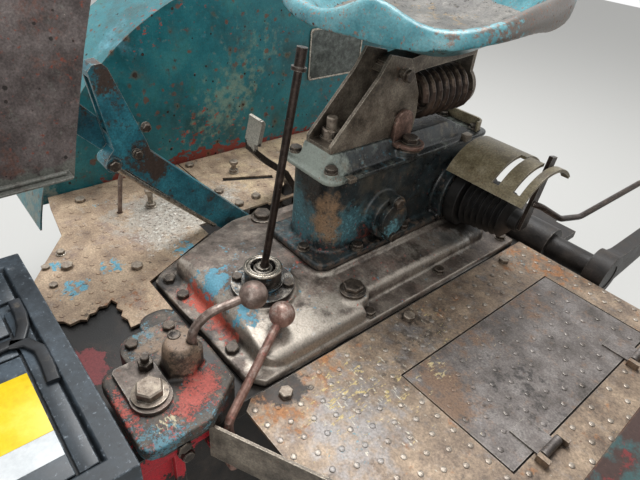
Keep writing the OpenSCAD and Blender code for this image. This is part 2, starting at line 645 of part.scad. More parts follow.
module deck_hatch() color([0.50, 0.48, 0.46]) at_deck() {
    translate([hatch_x[0] + hatch_gap, hatch_y[0] + hatch_gap, -deck_t + fit])
        cube([hatch_x[1] - hatch_x[0] - 2 * hatch_gap, hatch_y[1] - hatch_y[0] - 2 * hatch_gap,
              deck_t - fit]);
    for (y = HINGE_Y) difference() {
        union() {
            translate([hatch_x[1] - 40, y - 20, 0]) cube([50, 40, 3]);
            translate([hinge_x, y - 20, hinge_z]) rotate([-90, 0, 0]) cylinder(r = 6.5, h = 40);
        }
        translate([hinge_x, y - 21, hinge_z]) rotate([-90, 0, 0]) cylinder(r = 3 + fit, h = 42);
    }
}

// Front plate of the right deck, with a corner eaten away by rust
RIGHT_FRONT = [[-33, 187], [-33, 259], [-120, 259], [-deck_in, 418], [-deck_in - 38, 418],
               [-deck_in - 38, 505], [-guard_right_x + 4, 505], [-guard_right_x + 4, 204],
               [-452, 196], [-339, 182], [-251, 117], [-225, 98], [-112, 97],
               [-104, 108], [-92, 114], [-94, 130], [-88, 138], [-98, 146], [-97, 156], [-106, 164],
               [-103, 176], [-112, 187], [-98, 192], [-88, 186], [-76, 192], [-66, 185], [-52, 190]];
module deck_right_front() color([0.66, 0.60, 0.52]) at_deck() difference() {
    translate([0, 0, -deck_t]) linear_extrude(deck_t) polygon(RIGHT_FRONT);
    for (b = DECK_BOLTS_R) translate([b[0], b[1], -deck_t - 1]) cylinder(r = 5.5, h = deck_t + 2);
    translate([-359, 305, -deck_t - 1]) cylinder(r = 5.5 + fit, h = deck_t + 2);
}

module deck_right_rear() color([0.72, 0.64, 0.54]) at_deck() difference() {
    translate([0, 0, -deck_t]) linear_extrude(deck_t)
        polygon([[-guard_right_x + 4, 508], [-deck_in - 38, 508], [-deck_in - 38, 590],
                 [-deck_in - 30, 590], [-deck_in - 30, deck_rear], [-guard_right_x + 4, deck_rear]]);
    translate([-367, 558, -deck_t - 1]) rotate([0, 0, 66]) translate([0, -5, 0])
        cube([120, 16, deck_t + 2]);
    // slot of the foot pedal's arm
    translate([pedal_x - 21, 640, -deck_t - 1]) cube([42, 78, deck_t + 2]);
}

// Angle-iron frame under a deck: x0 at the housing's rail, x1 at the mudguard
module deck_frame(x0, x1, ys) {
    lo = min(x0, x1);
    hi = max(x0, x1);
    for (y = ys) translate([lo, y, -deck_t - 40]) difference() {
        cube([hi - lo, 40, 40]);
        translate([-1, 5, -1]) cube([hi - lo + 2, 40, 36]);
    }
}
module deck_frame_left() color([0.28, 0.27, 0.26]) at_deck() {
    difference() {
        union() {
            deck_frame(rail_half, guard_left_x, [bars_left[1], bar_rear]);
            deck_frame(rail_half, hatch_x[0] + 14, [bars_left[0]]);
            for (i = [0, 1]) translate([hatch_x[i] - 14, bars_left[i], -deck_t - 40])
                cube([28, bar_rear + 10 - bars_left[i], 40]);
        }
        for (i = [0, 1]) translate([hatch_x[i] - 9, bars_left[i] + 5, -deck_t - 41])
            cube([18, bar_rear - bars_left[i], 36]);
    }
}
module deck_frame_right() color([0.28, 0.27, 0.26]) at_deck() {
    deck_frame(-rail_half, -guard_right_x, [bars_right[0], bar_rear]);
    deck_frame(-300, -guard_right_x, [bars_right[1]]);
    translate([-304, bars_right[0] + 5, -deck_t - 40]) cube([4, bar_rear - bars_right[0], 40]);
}

// Mudguards

// One mudguard standing outwards from x = 0 along +x
module guard() {
    low = deck_z - 18;
    translate([0, axle[1], 0]) {
        intersection() {
            rotate([0, 90, 0]) cylinder(r = guard_r, h = guard_t, $fn = 180);
            translate([-1, -guard_r - 1, low]) cube([guard_t + 2, 2 * guard_r + 2, guard_r]);
        }
        intersection() {
            rotate([0, 90, 0]) difference() {
                cylinder(r = guard_r, h = guard_w, $fn = 180);
                translate([0, 0, -1]) cylinder(r = guard_r - guard_t, h = guard_w - guard_t + 1, $fn = 180);
                translate([0, 0, -2]) cylinder(r = guard_r - 26, h = guard_w + 4, $fn = 180);
            }
            translate([-1, -guard_r - 1, low - 60]) cube([guard_w + 2, 2 * guard_r + 2, guard_r + 100]);
        }
    }
}
module guard_right() color([0.16, 0.48, 0.56]) translate([-guard_right_x, 0, 0]) mirror([1, 0, 0]) guard();
module guard_left() color([0.16, 0.48, 0.56]) translate([guard_left_x, 0, 0]) guard();

module data_plate() color([0.50, 0.52, 0.50]) at_deck()
    translate([-guard_right_x, 908, 150]) cube([2, 132, 130]);

// Hand lever, pedals and small rods on the right

hand_stand = 45;                             // least reach of its pivot, from the housing's side
hand_x = -max(rail_half + 24, box_half + hand_stand);   // middle plane of the hand lever
hand_pivot = [hand_x, 556, -66];
pedal_x = -rail_half - 66;                   // middle plane of the foot pedal
module hand_lever() color([0.12, 0.40, 0.46]) at_deck() {
    difference() {
        union() {
            side_plate([[534, -88], [556, -96], [580, -84], [585, -60], [319, 206], [314, 226],
                        [268, 352], [260, 360], [246, 359], [238, 350], [258, 222], [244, 206], [246, 190],
                        [262, 182], [272, 184]], hand_x - 15, hand_x + 15);
            // link plate on the far side of the clevis
            side_plate([[247, 214], [262, 222], [268, 250], [180, 348], [148, 318]], hand_x - 22, hand_x - 15);
        }
        // hollow of the channel, open to the front and below
        side_plate([[540, -70], [560, -76], [566, -62], [308, 198], [300, 222], [258, 342], [236, 340],
                    [262, 208], [270, 190]], hand_x - 10, hand_x + 10);
        translate([hand_x - 30, hand_pivot[1], hand_pivot[2]]) rotate([0, 90, 0])
            cylinder(r = 8 + fit, h = 60);
    }
    // clevis boss, and the bolt ends at the elbow
    translate([hand_x - 22, 254, 197]) rotate([0, 90, 0]) cylinder(r = 13, h = 40);
    translate([hand_x - 19, 294, 209]) rotate([0, 90, 0]) cylinder(r = 8, h = 38);
}
module hand_lever_pivot() color([0.33, 0.33, 0.33]) at_deck() {
    translate([hand_x + 15 + fit, hand_pivot[1], hand_pivot[2]]) rotate([0, 90, 0])
        cylinder(r = 20, h = -box_half - hand_x - 15 - fit);
    translate([hand_x - 24, hand_pivot[1], hand_pivot[2]]) rotate([0, 90, 0])
        cylinder(r = 8, h = -box_half - hand_x + 24);
}

module foot_pedal() color([0.45, 0.43, 0.40]) at_deck() {
    // pad with its rolled top
    side_plate([[556, 146], [566, 142], [577, 190], [572, 198], [565, 197], [566, 190]],
               pedal_x - 19, pedal_x + 27);
    side_plate([[556, 146], [556, 124], [586, 92], [638, 50], [664, 8], [664, -60], [678, -60],
                [678, 12], [650, 58], [596, 102], [566, 130], [566, 146]], pedal_x - 17, pedal_x + 17);
    translate([pedal_x - 17, 671, -62]) rotate([0, 90, 0]) cylinder(r = 14, h = -box_half - pedal_x + 17);
}

module latch_rod() color([0.25, 0.24, 0.23]) at_deck()
    bent_rod([[-359, 305, -70], [-359, 305, 0], [-359, 318, 86], [-344, 326, 96]], 9);

// Upright apron along the slanted front edge of the left deck
apron_at = [205.2, 192.5];
apron_slope = 26.3;
module deck_apron() color([0.30, 0.28, 0.26]) at_deck() translate([apron_at[0], apron_at[1], -48])
    rotate([0, 0, apron_slope]) translate([0, -5, 0])
        cube([(guard_left_x - fit - apron_at[0]) / cos(apron_slope) - 5 * tan(apron_slope), 5, 68]);

// Cowl and battery

cowl_x = -196;
module cowl_panel() color([0.36, 0.33, 0.32]) at_deck() {
    side_plate([[-124, 200], [186, 206], [192, 190], [206, 252], [240, 380], [272, 480], [-124, 480]],
               cowl_x - 4, cowl_x);
    side_plate([[-124, 196], [183, 202], [186, 206], [-124, 200]], cowl_x - 4, cowl_x + 26);
}
module cowl_bulkhead() color([0.33, 0.33, 0.34]) at_deck() {
    translate([cowl_x - 4, -128, 8]) cube([8 - 2 * cowl_x, 4, 472]);
    translate([cowl_x - 4, -128, 8]) cube([8 - 2 * cowl_x, 14, 4]);
}
batt_at = [-38, -110, 0];
module battery_tray() color([0.25, 0.26, 0.27]) at_deck() {
    translate([cowl_x - 4, -128, 3]) cube([batt_at[0] + batt_l - cowl_x + 14, 210, 5]);
    for (x = [-150, 140]) translate([x, -55, seat_cover_z - rail_t])
        cube([10, 120, 3 - seat_cover_z + rail_t]);
}
module battery() color([0.28, 0.32, 0.38]) at_deck() translate([batt_at[0], batt_at[1], 8]) {
    cube([batt_l, batt_w, batt_h - 30]);
    translate([-3, -3, batt_h - 34]) cube([batt_l + 6, batt_w + 6, 26]);
}

// Quadrant, bellows and lift shaft

quad_at = [861, 123];                        // axis of the guard's shell: y, z
quad_r = 99;
quad_len = 164;
// A sector of the shell: degrees from the rear, between two x values
module shell(r_in, r_out, a0, a1, x0, x1) translate([x0, 0, 0]) rotate([90, 0, 90]) linear_extrude(x1 - x0)
    intersection() {
        difference() {
            circle(r_out, $fn = 96);
            circle(r_in, $fn = 96);
        }
        polygon([for (i = [0 : 6]) let (a = a0 + (a1 - a0) * i / 6) i == 0 ? [0, 0]
            : 2 * quad_r * [cos(a0 + (a1 - a0) * (i - 1) / 5), sin(a0 + (a1 - a0) * (i - 1) / 5)]]);
    }
module quadrant_guard() color([0.56, 0.54, 0.45]) at_deck() {
    // tab that holds the guard on the housing's boss
    side_plate([[923, 196], [892, 213.5], [884, 162], [908, 150]], boss_x, boss_x + 4);
    translate([boss_x, quad_at[0], quad_at[1]]) difference() {
        shell(quad_r - 6, quad_r, 44, 149.5, 0, quad_len);
        // slots, and the gap behind the strap between them
        shell(quad_r - 9, quad_r + 3, 88, 139, 92, 106);
        shell(quad_r - 9, quad_r + 3, 88, 139, 135, 149);
        shell(quad_r - 9, quad_r + 3, 43, 83, 103, 149);
        for (x = [92, 135]) shell(quad_r - 9, quad_r + 3, 82, 89, x + (x > 100 ? 0 : 11), x + 14);
    }
}
module side_collar() color([0.10, 0.10, 0.10]) at_deck() intersection() {
    translate([boss_x, boss_y, boss_z]) rotate([0, 90, 0]) cylinder(r = collar_r, h = 26);
    translate([boss_x - 1, boss_y - 100, crown_z - 6]) cube([40, 200, 200]);
}
// Rubber bellows over the lift's control shaft
bellows_x = boss_x + 26;
bellows_len = 90;
folds = 7;
module bellows() color([0.05, 0.05, 0.05]) at_deck() translate([bellows_x, boss_y, boss_z])
    rotate([0, 90, 0]) rotate_extrude() polygon(concat([[0, 0]],
        [for (i = [0 : folds - 1]) let (r = 56 - 1.8 * i) each [[r - 9, i * bellows_len / folds],
                                                              [r, (i + 0.5) * bellows_len / folds]]],
        [[36, bellows_len], [20, bellows_len + 2], [20, bellows_len + 20], [0, bellows_len + 20]]));

// Crank on the end of the control shaft, with its stub through the guard, and the long rod
crank_x = bellows_x + bellows_len + 20;
module lift_rod() color([0.24, 0.22, 0.20]) at_deck() {
    side_plate([[boss_y - 12, boss_z - 10], [boss_y + 12, boss_z - 10], [boss_y + 24, boss_z + 60],
                [boss_y + 34, 232], [boss_y + 16, 236], [boss_y + 2, boss_z + 60]], crank_x, crank_x + 8);
    bent_rod([[crank_x + 6, 872, 140], [crank_x + 20, 876, 140], [262, 930, 106], [272, 1000, 92],
              [296, 1200, 123]], 12, [0, 0, 1], 9);
}

module lift_shaft() color([0.14, 0.14, 0.14]) at_deck() translate([-368, arm_y, arm_z]) rotate([0, 90, 0])
    cylinder(r = shaft_r, h = 736);
module lift_arm(s) color([0.28, 0.26, 0.24]) at_deck() difference() {
    union() {
        translate([s * 350 - 20, arm_y, arm_z]) rotate([0, 90, 0]) cylinder(r = shaft_r + 20, h = 40);
        side_plate([[arm_y, arm_z - 40], [arm_y + 60, arm_z - 38], [arm_y + arm_len, arm_z - 24],
                    [arm_y + arm_len, arm_z + 24], [arm_y + 60, arm_z + 30], [arm_y, arm_z + 40]],
                   s * 350 - 15, s * 350 + 15);
        translate([s * 350 - 15, arm_y + arm_len, arm_z]) rotate([0, 90, 0]) cylinder(r = 24, h = 30);
    }
    translate([s * 350 - 30, arm_y, arm_z]) rotate([0, 90, 0]) cylinder(r = shaft_r + 0.1, h = 60);
    translate([s * 350 - 30, arm_y + arm_len, arm_z]) rotate([0, 90, 0]) cylinder(r = eye_r, h = 60);
}
module lift_arm_left() lift_arm(1);
module lift_arm_right() lift_arm(-1);

gearbox_housing();
axle_tube_left();
axle_tube_right();
gearbox_cover();
shift_collar();
gear_lever();
control_box();
control_plate();
selector_lever();
range_lever();
range_pivot();
lift_housing();
lift_lid();
lift_side_cap();
lid_loop();
seat_bracket();
seat_arm();
arm_pin();
bracket_bolt();
seat_spring();
seat_pan();
seat_cushion();
deck_left();
deck_hatch();
deck_right_front();
deck_right_rear();
deck_frame_left();
deck_frame_right();
guard_right();
guard_left();
data_plate();
hand_lever();
hand_lever_pivot();
foot_pedal();
latch_rod();
deck_apron();
cowl_panel();
cowl_bulkhead();
battery_tray();
battery();
quadrant_guard();
bellows();
side_collar();
lift_rod();
lift_shaft();
lift_arm_left();
lift_arm_right();
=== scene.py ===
"""Finishes the driver's station of an old farm tractor: castings, worn sheets, bolts, nubs and seat pad."""
import json
import math
import random

import bmesh
import bpy
from bpy.props import FloatProperty, FloatVectorProperty, PointerProperty
from mathutils import Matrix, Vector
from mathutils.bvhtree import BVHTree


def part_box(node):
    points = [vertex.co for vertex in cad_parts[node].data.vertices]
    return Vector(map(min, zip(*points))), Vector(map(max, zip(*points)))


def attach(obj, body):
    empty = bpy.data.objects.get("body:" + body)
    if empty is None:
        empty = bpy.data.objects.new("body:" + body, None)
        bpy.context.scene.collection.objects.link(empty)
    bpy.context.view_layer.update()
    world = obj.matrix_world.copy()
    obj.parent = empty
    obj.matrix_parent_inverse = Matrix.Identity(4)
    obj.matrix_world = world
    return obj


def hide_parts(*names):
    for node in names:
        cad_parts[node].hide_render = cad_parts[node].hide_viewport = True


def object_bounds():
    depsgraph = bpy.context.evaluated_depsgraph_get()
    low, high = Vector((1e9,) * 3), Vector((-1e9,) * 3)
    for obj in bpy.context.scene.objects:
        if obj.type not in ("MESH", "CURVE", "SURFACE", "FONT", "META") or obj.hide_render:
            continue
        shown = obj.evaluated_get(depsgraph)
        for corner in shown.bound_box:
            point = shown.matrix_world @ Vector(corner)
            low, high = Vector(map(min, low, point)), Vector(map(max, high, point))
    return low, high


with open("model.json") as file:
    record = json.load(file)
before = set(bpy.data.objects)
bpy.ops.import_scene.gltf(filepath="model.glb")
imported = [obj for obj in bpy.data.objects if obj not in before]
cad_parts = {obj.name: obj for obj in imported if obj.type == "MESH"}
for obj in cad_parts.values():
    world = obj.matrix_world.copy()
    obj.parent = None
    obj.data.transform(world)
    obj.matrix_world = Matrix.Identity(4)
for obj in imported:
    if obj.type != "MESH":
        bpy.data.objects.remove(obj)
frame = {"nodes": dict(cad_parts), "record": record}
CAD_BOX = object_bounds()

bl_info = {
    "name": "Tractor driver's station",
    "version": (1, 0, 0),
    "blender": (4, 5, 0),
    "location": "View3D > Sidebar > Station",
    "description": "Finishes the driver's station of an old farm tractor",
    "category": "Object",
}

MM = 0.001
DECK_Y, DECK_Z = 150, 193    # the deck's frame in the part, in mm
ALIGNED = 0.9                # a face or edge points along an axis from this cosine on
BODY = {n: b for b, ns in frame["record"]["behaviour"]["bodies"].items() for n in ns}


def deck(x, y, z):
    """A place in mm in the deck's frame, in metres in the part's frame."""
    return Vector((x, y + DECK_Y, z + DECK_Z)) * MM


def linear(hex_code):
    """sRGB hex value as linear red, green, blue and alpha."""
    code = hex_code.lstrip("#")
    out = []
    for i in (0, 2, 4):
        c = int(code[i:i + 2], 16) / 255
        out.append(c / 12.92 if c <= 0.04045 else ((c + 0.055) / 1.055) ** 2.4)
    return (*out, 1.0)


# Settings that a user would change

class StationSizes(bpy.types.PropertyGroup):
    nub_width: FloatProperty(name="Nub width", description="Width of a raised nub on the deck plates",
                             default=0.0088, min=0.005, max=0.012, unit="LENGTH")
    nub_height: FloatProperty(name="Nub height", description="Height of a raised nub",
                              default=0.0016, min=0.0005, max=0.003, unit="LENGTH")
    nub_pitch: FloatProperty(name="Nub pitch", description="Distance from nub to nub across the deck",
                             default=0.029, min=0.02, max=0.04, unit="LENGTH")
    sheet_edge: FloatProperty(name="Sheet edge", description="Rounding of the worn edges of a plain sheet",
                              default=0.001, min=0.0003, max=0.002, unit="LENGTH")
    pad_swell: FloatProperty(name="Pad swell", description="How far the seat pad may swell",
                             default=0.006, min=0.0, max=0.012, unit="LENGTH")


class StationColours(bpy.types.PropertyGroup):
    guard_paint: FloatVectorProperty(name="Mudguard paint", description="Paint of the mudguards",
                                     default=linear("#227781")[:3], size=3, min=0, max=1, subtype="COLOR")
    seat_paint: FloatVectorProperty(name="Seat paint", description="Paint inside the pan seat",
                                    default=linear("#5f9fa9")[:3], size=3, min=0, max=1, subtype="COLOR")
    box_paint: FloatVectorProperty(name="Box paint", description="Top coat of the control box",
                                   default=linear("#b9564a")[:3], size=3, min=0, max=1, subtype="COLOR")


# Tools for modelling

def only(*objs):
    """Selects these objects alone and makes the first the active one."""
    if bpy.context.mode != "OBJECT":
        bpy.ops.object.mode_set(mode="OBJECT")
    bpy.ops.object.select_all(action="DESELECT")
    for o in objs:
        o.select_set(True)
    bpy.context.view_layer.objects.active = objs[0]


def edit(obj, faces=None, edges=None):
    """Enters edit mode with the faces or edges selected for which the test holds."""
    only(obj)
    bpy.ops.object.mode_set(mode="EDIT")
    bpy.ops.mesh.select_mode(type="EDGE" if edges else "FACE")
    bpy.ops.mesh.select_all(action="DESELECT")
    bm = bmesh.from_edit_mesh(obj.data)
    for e in (bm.edges if edges else bm.faces):
        if (edges or faces)(e):
            e.select_set(True)
    bm.select_flush_mode()
    bmesh.update_edit_mesh(obj.data)


def everywhere(e):
    return True


def faces_up(f):
    return f.normal.z > ALIGNED


def faces_down(f):
    return f.normal.z < -ALIGNED


def edges_along(axis):
    """Test for the edges that run along an axis, 0 to 2."""
    return lambda e: abs((e.verts[0].co - e.verts[1].co).normalized()[axis]) > ALIGNED


def close(obj, normals=False):
    """Leaves edit mode, with normals turned outwards where two edges were bridged."""
    if normals:
        bpy.ops.mesh.select_all(action="SELECT")
        bpy.ops.mesh.remove_doubles(threshold=0.00001)
        bpy.ops.mesh.normals_make_consistent(inside=False)
    bpy.ops.object.mode_set(mode="OBJECT")
    return obj


def inset(obj, *steps, faces=faces_up):
    """Insets faces in steps, each inwards and then up, in metres."""
    edit(obj, faces=faces)
    for inwards, up in steps:
        bpy.ops.mesh.inset(thickness=inwards, depth=up)
    return close(obj)


def bridged(obj):
    """Walls in the gap between the two open edges that are left when faces go."""
    bpy.ops.mesh.delete(type="FACE")
    edit(obj, edges=lambda e: e.is_boundary)
    bpy.ops.mesh.bridge_edge_loops()
    return close(obj, normals=True)


def primitive(kind, name, **settings):
    """A primitive at its size and place, alone selected."""
    bpy.ops.object.select_all(action="DESELECT")
    getattr(bpy.ops.mesh, "primitive_" + kind + "_add")(**settings)
    bpy.context.object.name = name
    return bpy.context.object


def modify(obj, kind, **settings):
    """Adds a modifier and applies it."""
    only(obj)
    m = obj.modifiers.new(kind.lower(), kind)
    for k, v in settings.items():
        setattr(m, k, v)
    bpy.ops.object.modifier_apply(modifier=m.name)
    return obj


def rounded(obj, width, degrees=50, segments=2, **settings):
    """Rounds the edges that turn by more than so many degrees. Width in metres."""
    return modify(obj, "BEVEL", width=width, segments=segments, limit_method="ANGLE",
                  angle_limit=math.radians(degrees), **settings)


def repeated(obj, count, step):
    return modify(obj, "ARRAY", count=count, use_relative_offset=False, use_constant_offset=True,
                  constant_offset_displace=step)


def smooth(obj, degrees=40):
    only(obj)
    bpy.ops.object.shade_smooth_by_angle(angle=math.radians(degrees))
    return obj


def placed(obj):
    """Puts an object's place, turn and size into its mesh."""
    only(obj)
    bpy.ops.object.transform_apply(location=True, rotation=True, scale=True)
    return obj


def block(name, middle, size, turn=0.0):
    """A block to be shaped further, in metres, turned about the upright axis."""
    o = primitive("cube", name, size=1, location=middle, rotation=(0, 0, turn))
    o.scale = size
    return placed(o)


def joined(name, objs):
    only(*objs)
    if len(objs) > 1:
        bpy.ops.object.join()
    o = bpy.context.object
    o.name = o.data.name = name
    return placed(o)


def linked(obj):
    bpy.context.scene.collection.objects.link(obj)
    return obj


def fitted(obj, body, finish):
    """A finished piece rides on its body and gets its finish."""
    obj.data.materials.clear()
    obj.data.materials.append(FINISH[finish])
    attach(obj, body)
    return obj


def standing_for(obj, node, finish):
    """A finished piece takes a solid's place and body, and gets the given finish."""
    fitted(obj, BODY[node], finish)
    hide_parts(node)
    return obj


def copied(node, name=None):
    """A merged copy of a solid's mesh, with its flat faces joined again."""
    src = frame["nodes"][node]
    obj = linked(bpy.data.objects.new(name or node + "_finished", src.data.copy()))
    only(obj)
    if obj.data.has_custom_normals:
        bpy.ops.mesh.customdata_custom_splitnormals_clear()
    edit(obj, faces=everywhere)
    bpy.ops.mesh.remove_doubles(threshold=0.00002)
    bpy.ops.mesh.dissolve_limited(angle_limit=math.radians(0.8))
    return close(obj)


def surfaces(*nodes):
    """A search tree over solids, to set small pieces on what carries them."""
    verts, polys = [], []
    for n in nodes:
        m = frame["nodes"][n].data
        base = len(verts)
        verts += [v.co.copy() for v in m.vertices]
        polys += [[base + i for i in p.vertices] for p in m.polygons]
    return BVHTree.FromPolygons(verts, polys)


def drop(tree, x, y, from_z):
    """Height in mm at which a plumb line through a place meets the surface, or None."""
    hit = tree.ray_cast(deck(x, y, from_z), Vector((0, 0, -1)))[0]
    return None if hit is None else hit.z / MM - DECK_Z


def height(tree, x, y, reach):
    """Median height of the surface round a bolt hole, in mm in the deck's frame."""
    hits = []
    for k in range(8):
        a = math.radians(45 * k + 10)
        z = drop(tree, x + reach * math.cos(a), y + reach * math.sin(a), 500)
        if z is not None:
            hits.append(z)
    return sorted(hits)[len(hits) // 2]


# Materials

EDGE_REACH, HOLLOW_REACH = 0.0022, 0.026    # how far worn edges and the painted shade in hollows reach, in metres
RELIEF = 0.0012                             # height of the relief in metres
GRIT_SIZE = 3.2                             # mm
HARSH = 0.66                                # share of fine detail in a noise
TONES_FROM, TONES_OVER = 0.45, 0.32         # part of the ground's noise that its tones share
TONES_FRAYED, COAT_FRAYED = 0.22, 0.16      # share of ragged noise in the tones, and in a coat's outline
SPOTS_VARY = 0.62                           # share of a round spot's size that is its own


def add(tree, kind, links=None, values=None, **settings):
    """Adds one node, sets its properties and values, and links what feeds it."""
    n = tree.nodes.new(kind)
    for k, v in settings.items():
        setattr(n, k, v)
    for k, v in (values or {}).items():
        n.inputs[k].default_value = v
    for k, v in (links or {}).items():
        tree.links.new(v, n.inputs[k])
    return n


def coat(colour, rough, size, low, high, **more):
    """A coat's colour, roughness, size of its patches in mm, and where its mask starts and is full."""
    return dict(colour=colour, rough=rough, size=size, low=low, high=high, **more)


def layered(name, tones, size, rough, metal, coats, grain, bump, seed, grit=0.26):
    """A ground of mottled tones under coats of paint, rust, oil and bare steel, and under painted shade in
    hollows and painted highlights on upper and sloped faces.

    A coat's mask is noise, or round spots, of the coat's size, raised near places, at edges, in hollows, on
    slopes or level faces or along an axis, and cut between low and high. Grit of about 3 mm goes over all,
    coarser than the real sand and dust so that it shows.
    """
    mat = bpy.data.materials.new(name)
    mat.use_nodes = True
    t = mat.node_tree
    shader = t.nodes["Principled BSDF"]
    here = add(t, "ShaderNodeTexCoord").outputs["Object"]
    geo = add(t, "ShaderNodeNewGeometry")
    parts = {}

    def noise(mm, shift, detail=8.0, scale=(1, 1, 1), harsh=HARSH):
        m = add(t, "ShaderNodeMapping", {"Vector": here},
                {"Location": (shift, shift * 0.7, -shift), "Scale": scale})
        return add(t, "ShaderNodeTexNoise", {"Vector": m.outputs["Vector"]},
                   {"Scale": 1 / MM / mm, "Detail": detail, "Roughness": harsh}).outputs["Fac"]

    def ranged(value, start, end, low=0.0, high=1.0):
        return add(t, "ShaderNodeMapRange", {"Value": value},
                   {"From Min": start, "From Max": end, "To Min": low, "To Max": high}).outputs["Result"]

    def maths(kind, links, values=None):
        return add(t, "ShaderNodeMath", links, values, operation=kind).outputs["Value"]

    def plus(value, term, gain):
        return maths("MULTIPLY_ADD", {0: term, 2: value}, {1: gain})

    def mixed(mask, under, over, first, **settings):
        return add(t, "ShaderNodeMix", {0: mask, first: under}, {first + 1: over}, **settings)

    def term(key):
        if key not in parts:
            if key == "edge":
                soft = add(t, "ShaderNodeBevel", values={"Radius": EDGE_REACH}, samples=4)
                dot = add(t, "ShaderNodeVectorMath", {0: soft.outputs["Normal"], 1: geo.outputs["Normal"]},
                          operation="DOT_PRODUCT")
                parts[key] = ranged(dot.outputs["Value"], 0.995, 0.80)
            elif key == "hollow":
                # ambient occlusion: the dark coats in hollows use it to paint shade there
                ao = add(t, "ShaderNodeAmbientOcclusion", values={"Distance": HOLLOW_REACH}, samples=4)
                parts[key] = ranged(ao.outputs["AO"], 0.88, 0.25)
            else:
                # which way a face looks: some coats use it to paint light on upper and sloped faces and shade
                # on faces that look down
                up = add(t, "ShaderNodeSeparateXYZ", {"Vector": geo.outputs["Normal"]}).outputs["Z"]
                parts["up"] = ranged(up, 0.2, 0.9)
                parts["down"] = ranged(up, 0.25, -0.4)
                parts["slope"] = maths("MULTIPLY", {0: ranged(up, 0.1, 0.5), 1: ranged(up, 0.99, 0.86)})
        return parts[key]

    ground = noise(size, seed, 9.0)
    ragged = noise(max(3.0, size / 9), seed + 5.3, 4.0, harsh=0.7)
    ramp = add(t, "ShaderNodeValToRGB", {"Fac": plus(ground, ragged, TONES_FRAYED)})
    stops = ramp.color_ramp.elements
    for i, tone in enumerate(tones):
        place = TONES_FROM + TONES_OVER * i / max(1, len(tones) - 1)
        stop = stops[i] if i < 2 else stops.new(place)
        stop.position = place
        stop.color = linear(tone) if isinstance(tone, str) else (*tone, 1)
    colour, metallic = ramp.outputs["Color"], None
    lift = noise(grain, seed + 3.1, 3.0)
    roughness = ranged(ground, 0.3, 0.7, rough - 0.09, rough + 0.09)
    for i, c in enumerate(coats):
        if c.get("spots"):
            cell = add(t, "ShaderNodeTexVoronoi", {"Vector": here}, {"Scale": 1 / MM / c["size"]})
            total = maths("MULTIPLY_ADD", {0: cell.outputs["Color"]}, {1: SPOTS_VARY, 2: 1 - SPOTS_VARY})
            total = maths("SUBTRACT", {0: total, 1: cell.outputs["Distance"]})
        else:
            total = noise(c["size"], seed + 1.7 * (i + 1), scale=c.get("stretch", (1, 1, 1)),
                          harsh=c.get("harsh", HARSH))
        frayed = c.get("ragged", COAT_FRAYED)
        total = plus(maths("SUBTRACT", {0: total}, {1: frayed / 2}), ragged, frayed)
        for key in ("edge", "hollow", "up", "down", "slope"):
            if key in c:
                total = plus(total, term(key), c[key])
        for x, y, z, radius, gain in c.get("near", ()):
            away = add(t, "ShaderNodeVectorMath", {0: here}, {1: deck(x, y, z)}, operation="DISTANCE")
            total = plus(total, ranged(away.outputs["Value"], radius * MM, radius * 0.3 * MM), gain)
        for axis, start, end, gain in c.get("along", ()):
            xyz = add(t, "ShaderNodeSeparateXYZ", {"Vector": here})
            shift = {"X": 0, "Y": DECK_Y, "Z": DECK_Z}[axis]
            total = plus(total, ranged(xyz.outputs[axis], (start + shift) * MM, (end + shift) * MM), gain)
        mask = add(t, "ShaderNodeMapRange", {"Value": total},
                   {"From Min": c["low"], "From Max": c["high"], "To Max": c.get("amount", 1.0)},
                   interpolation_type="SMOOTHSTEP").outputs["Result"]
        tint = c["colour"]
        tint = linear(tint) if isinstance(tint, str) else (*tint, 1)
        colour = mixed(mask, colour, tint, 6, data_type="RGBA").outputs[2]
        roughness = mixed(mask, roughness, c["rough"], 2).outputs[0]
        if metallic is not None:
            metallic = mixed(mask, metallic, c.get("metal", 0.0), 2).outputs[0]
        elif c.get("metal", 0.0) != metal:
            metallic = ranged(mask, 0.0, 1.0, metal, c.get("metal", 0.0))
        if c.get("lift"):
            lift = plus(lift, mask, c["lift"])
    shade = ranged(noise(GRIT_SIZE, seed + 9.9, 2.0), 0.34, 0.66, 1.0 - grit, 1.0 + grit)
    colour = add(t, "ShaderNodeVectorMath", {0: colour, 3: shade}, operation="SCALE").outputs["Vector"]
    t.links.new(colour, shader.inputs["Base Color"])
    t.links.new(roughness, shader.inputs["Roughness"])
    if metallic is None:
        shader.inputs["Metallic"].default_value = metal
    else:
        t.links.new(metallic, shader.inputs["Metallic"])
    relief = add(t, "ShaderNodeBump", {"Height": lift}, {"Strength": bump, "Distance": RELIEF})
    t.links.new(relief.outputs["Normal"], shader.inputs["Normal"])
    return mat


FINISH = {}


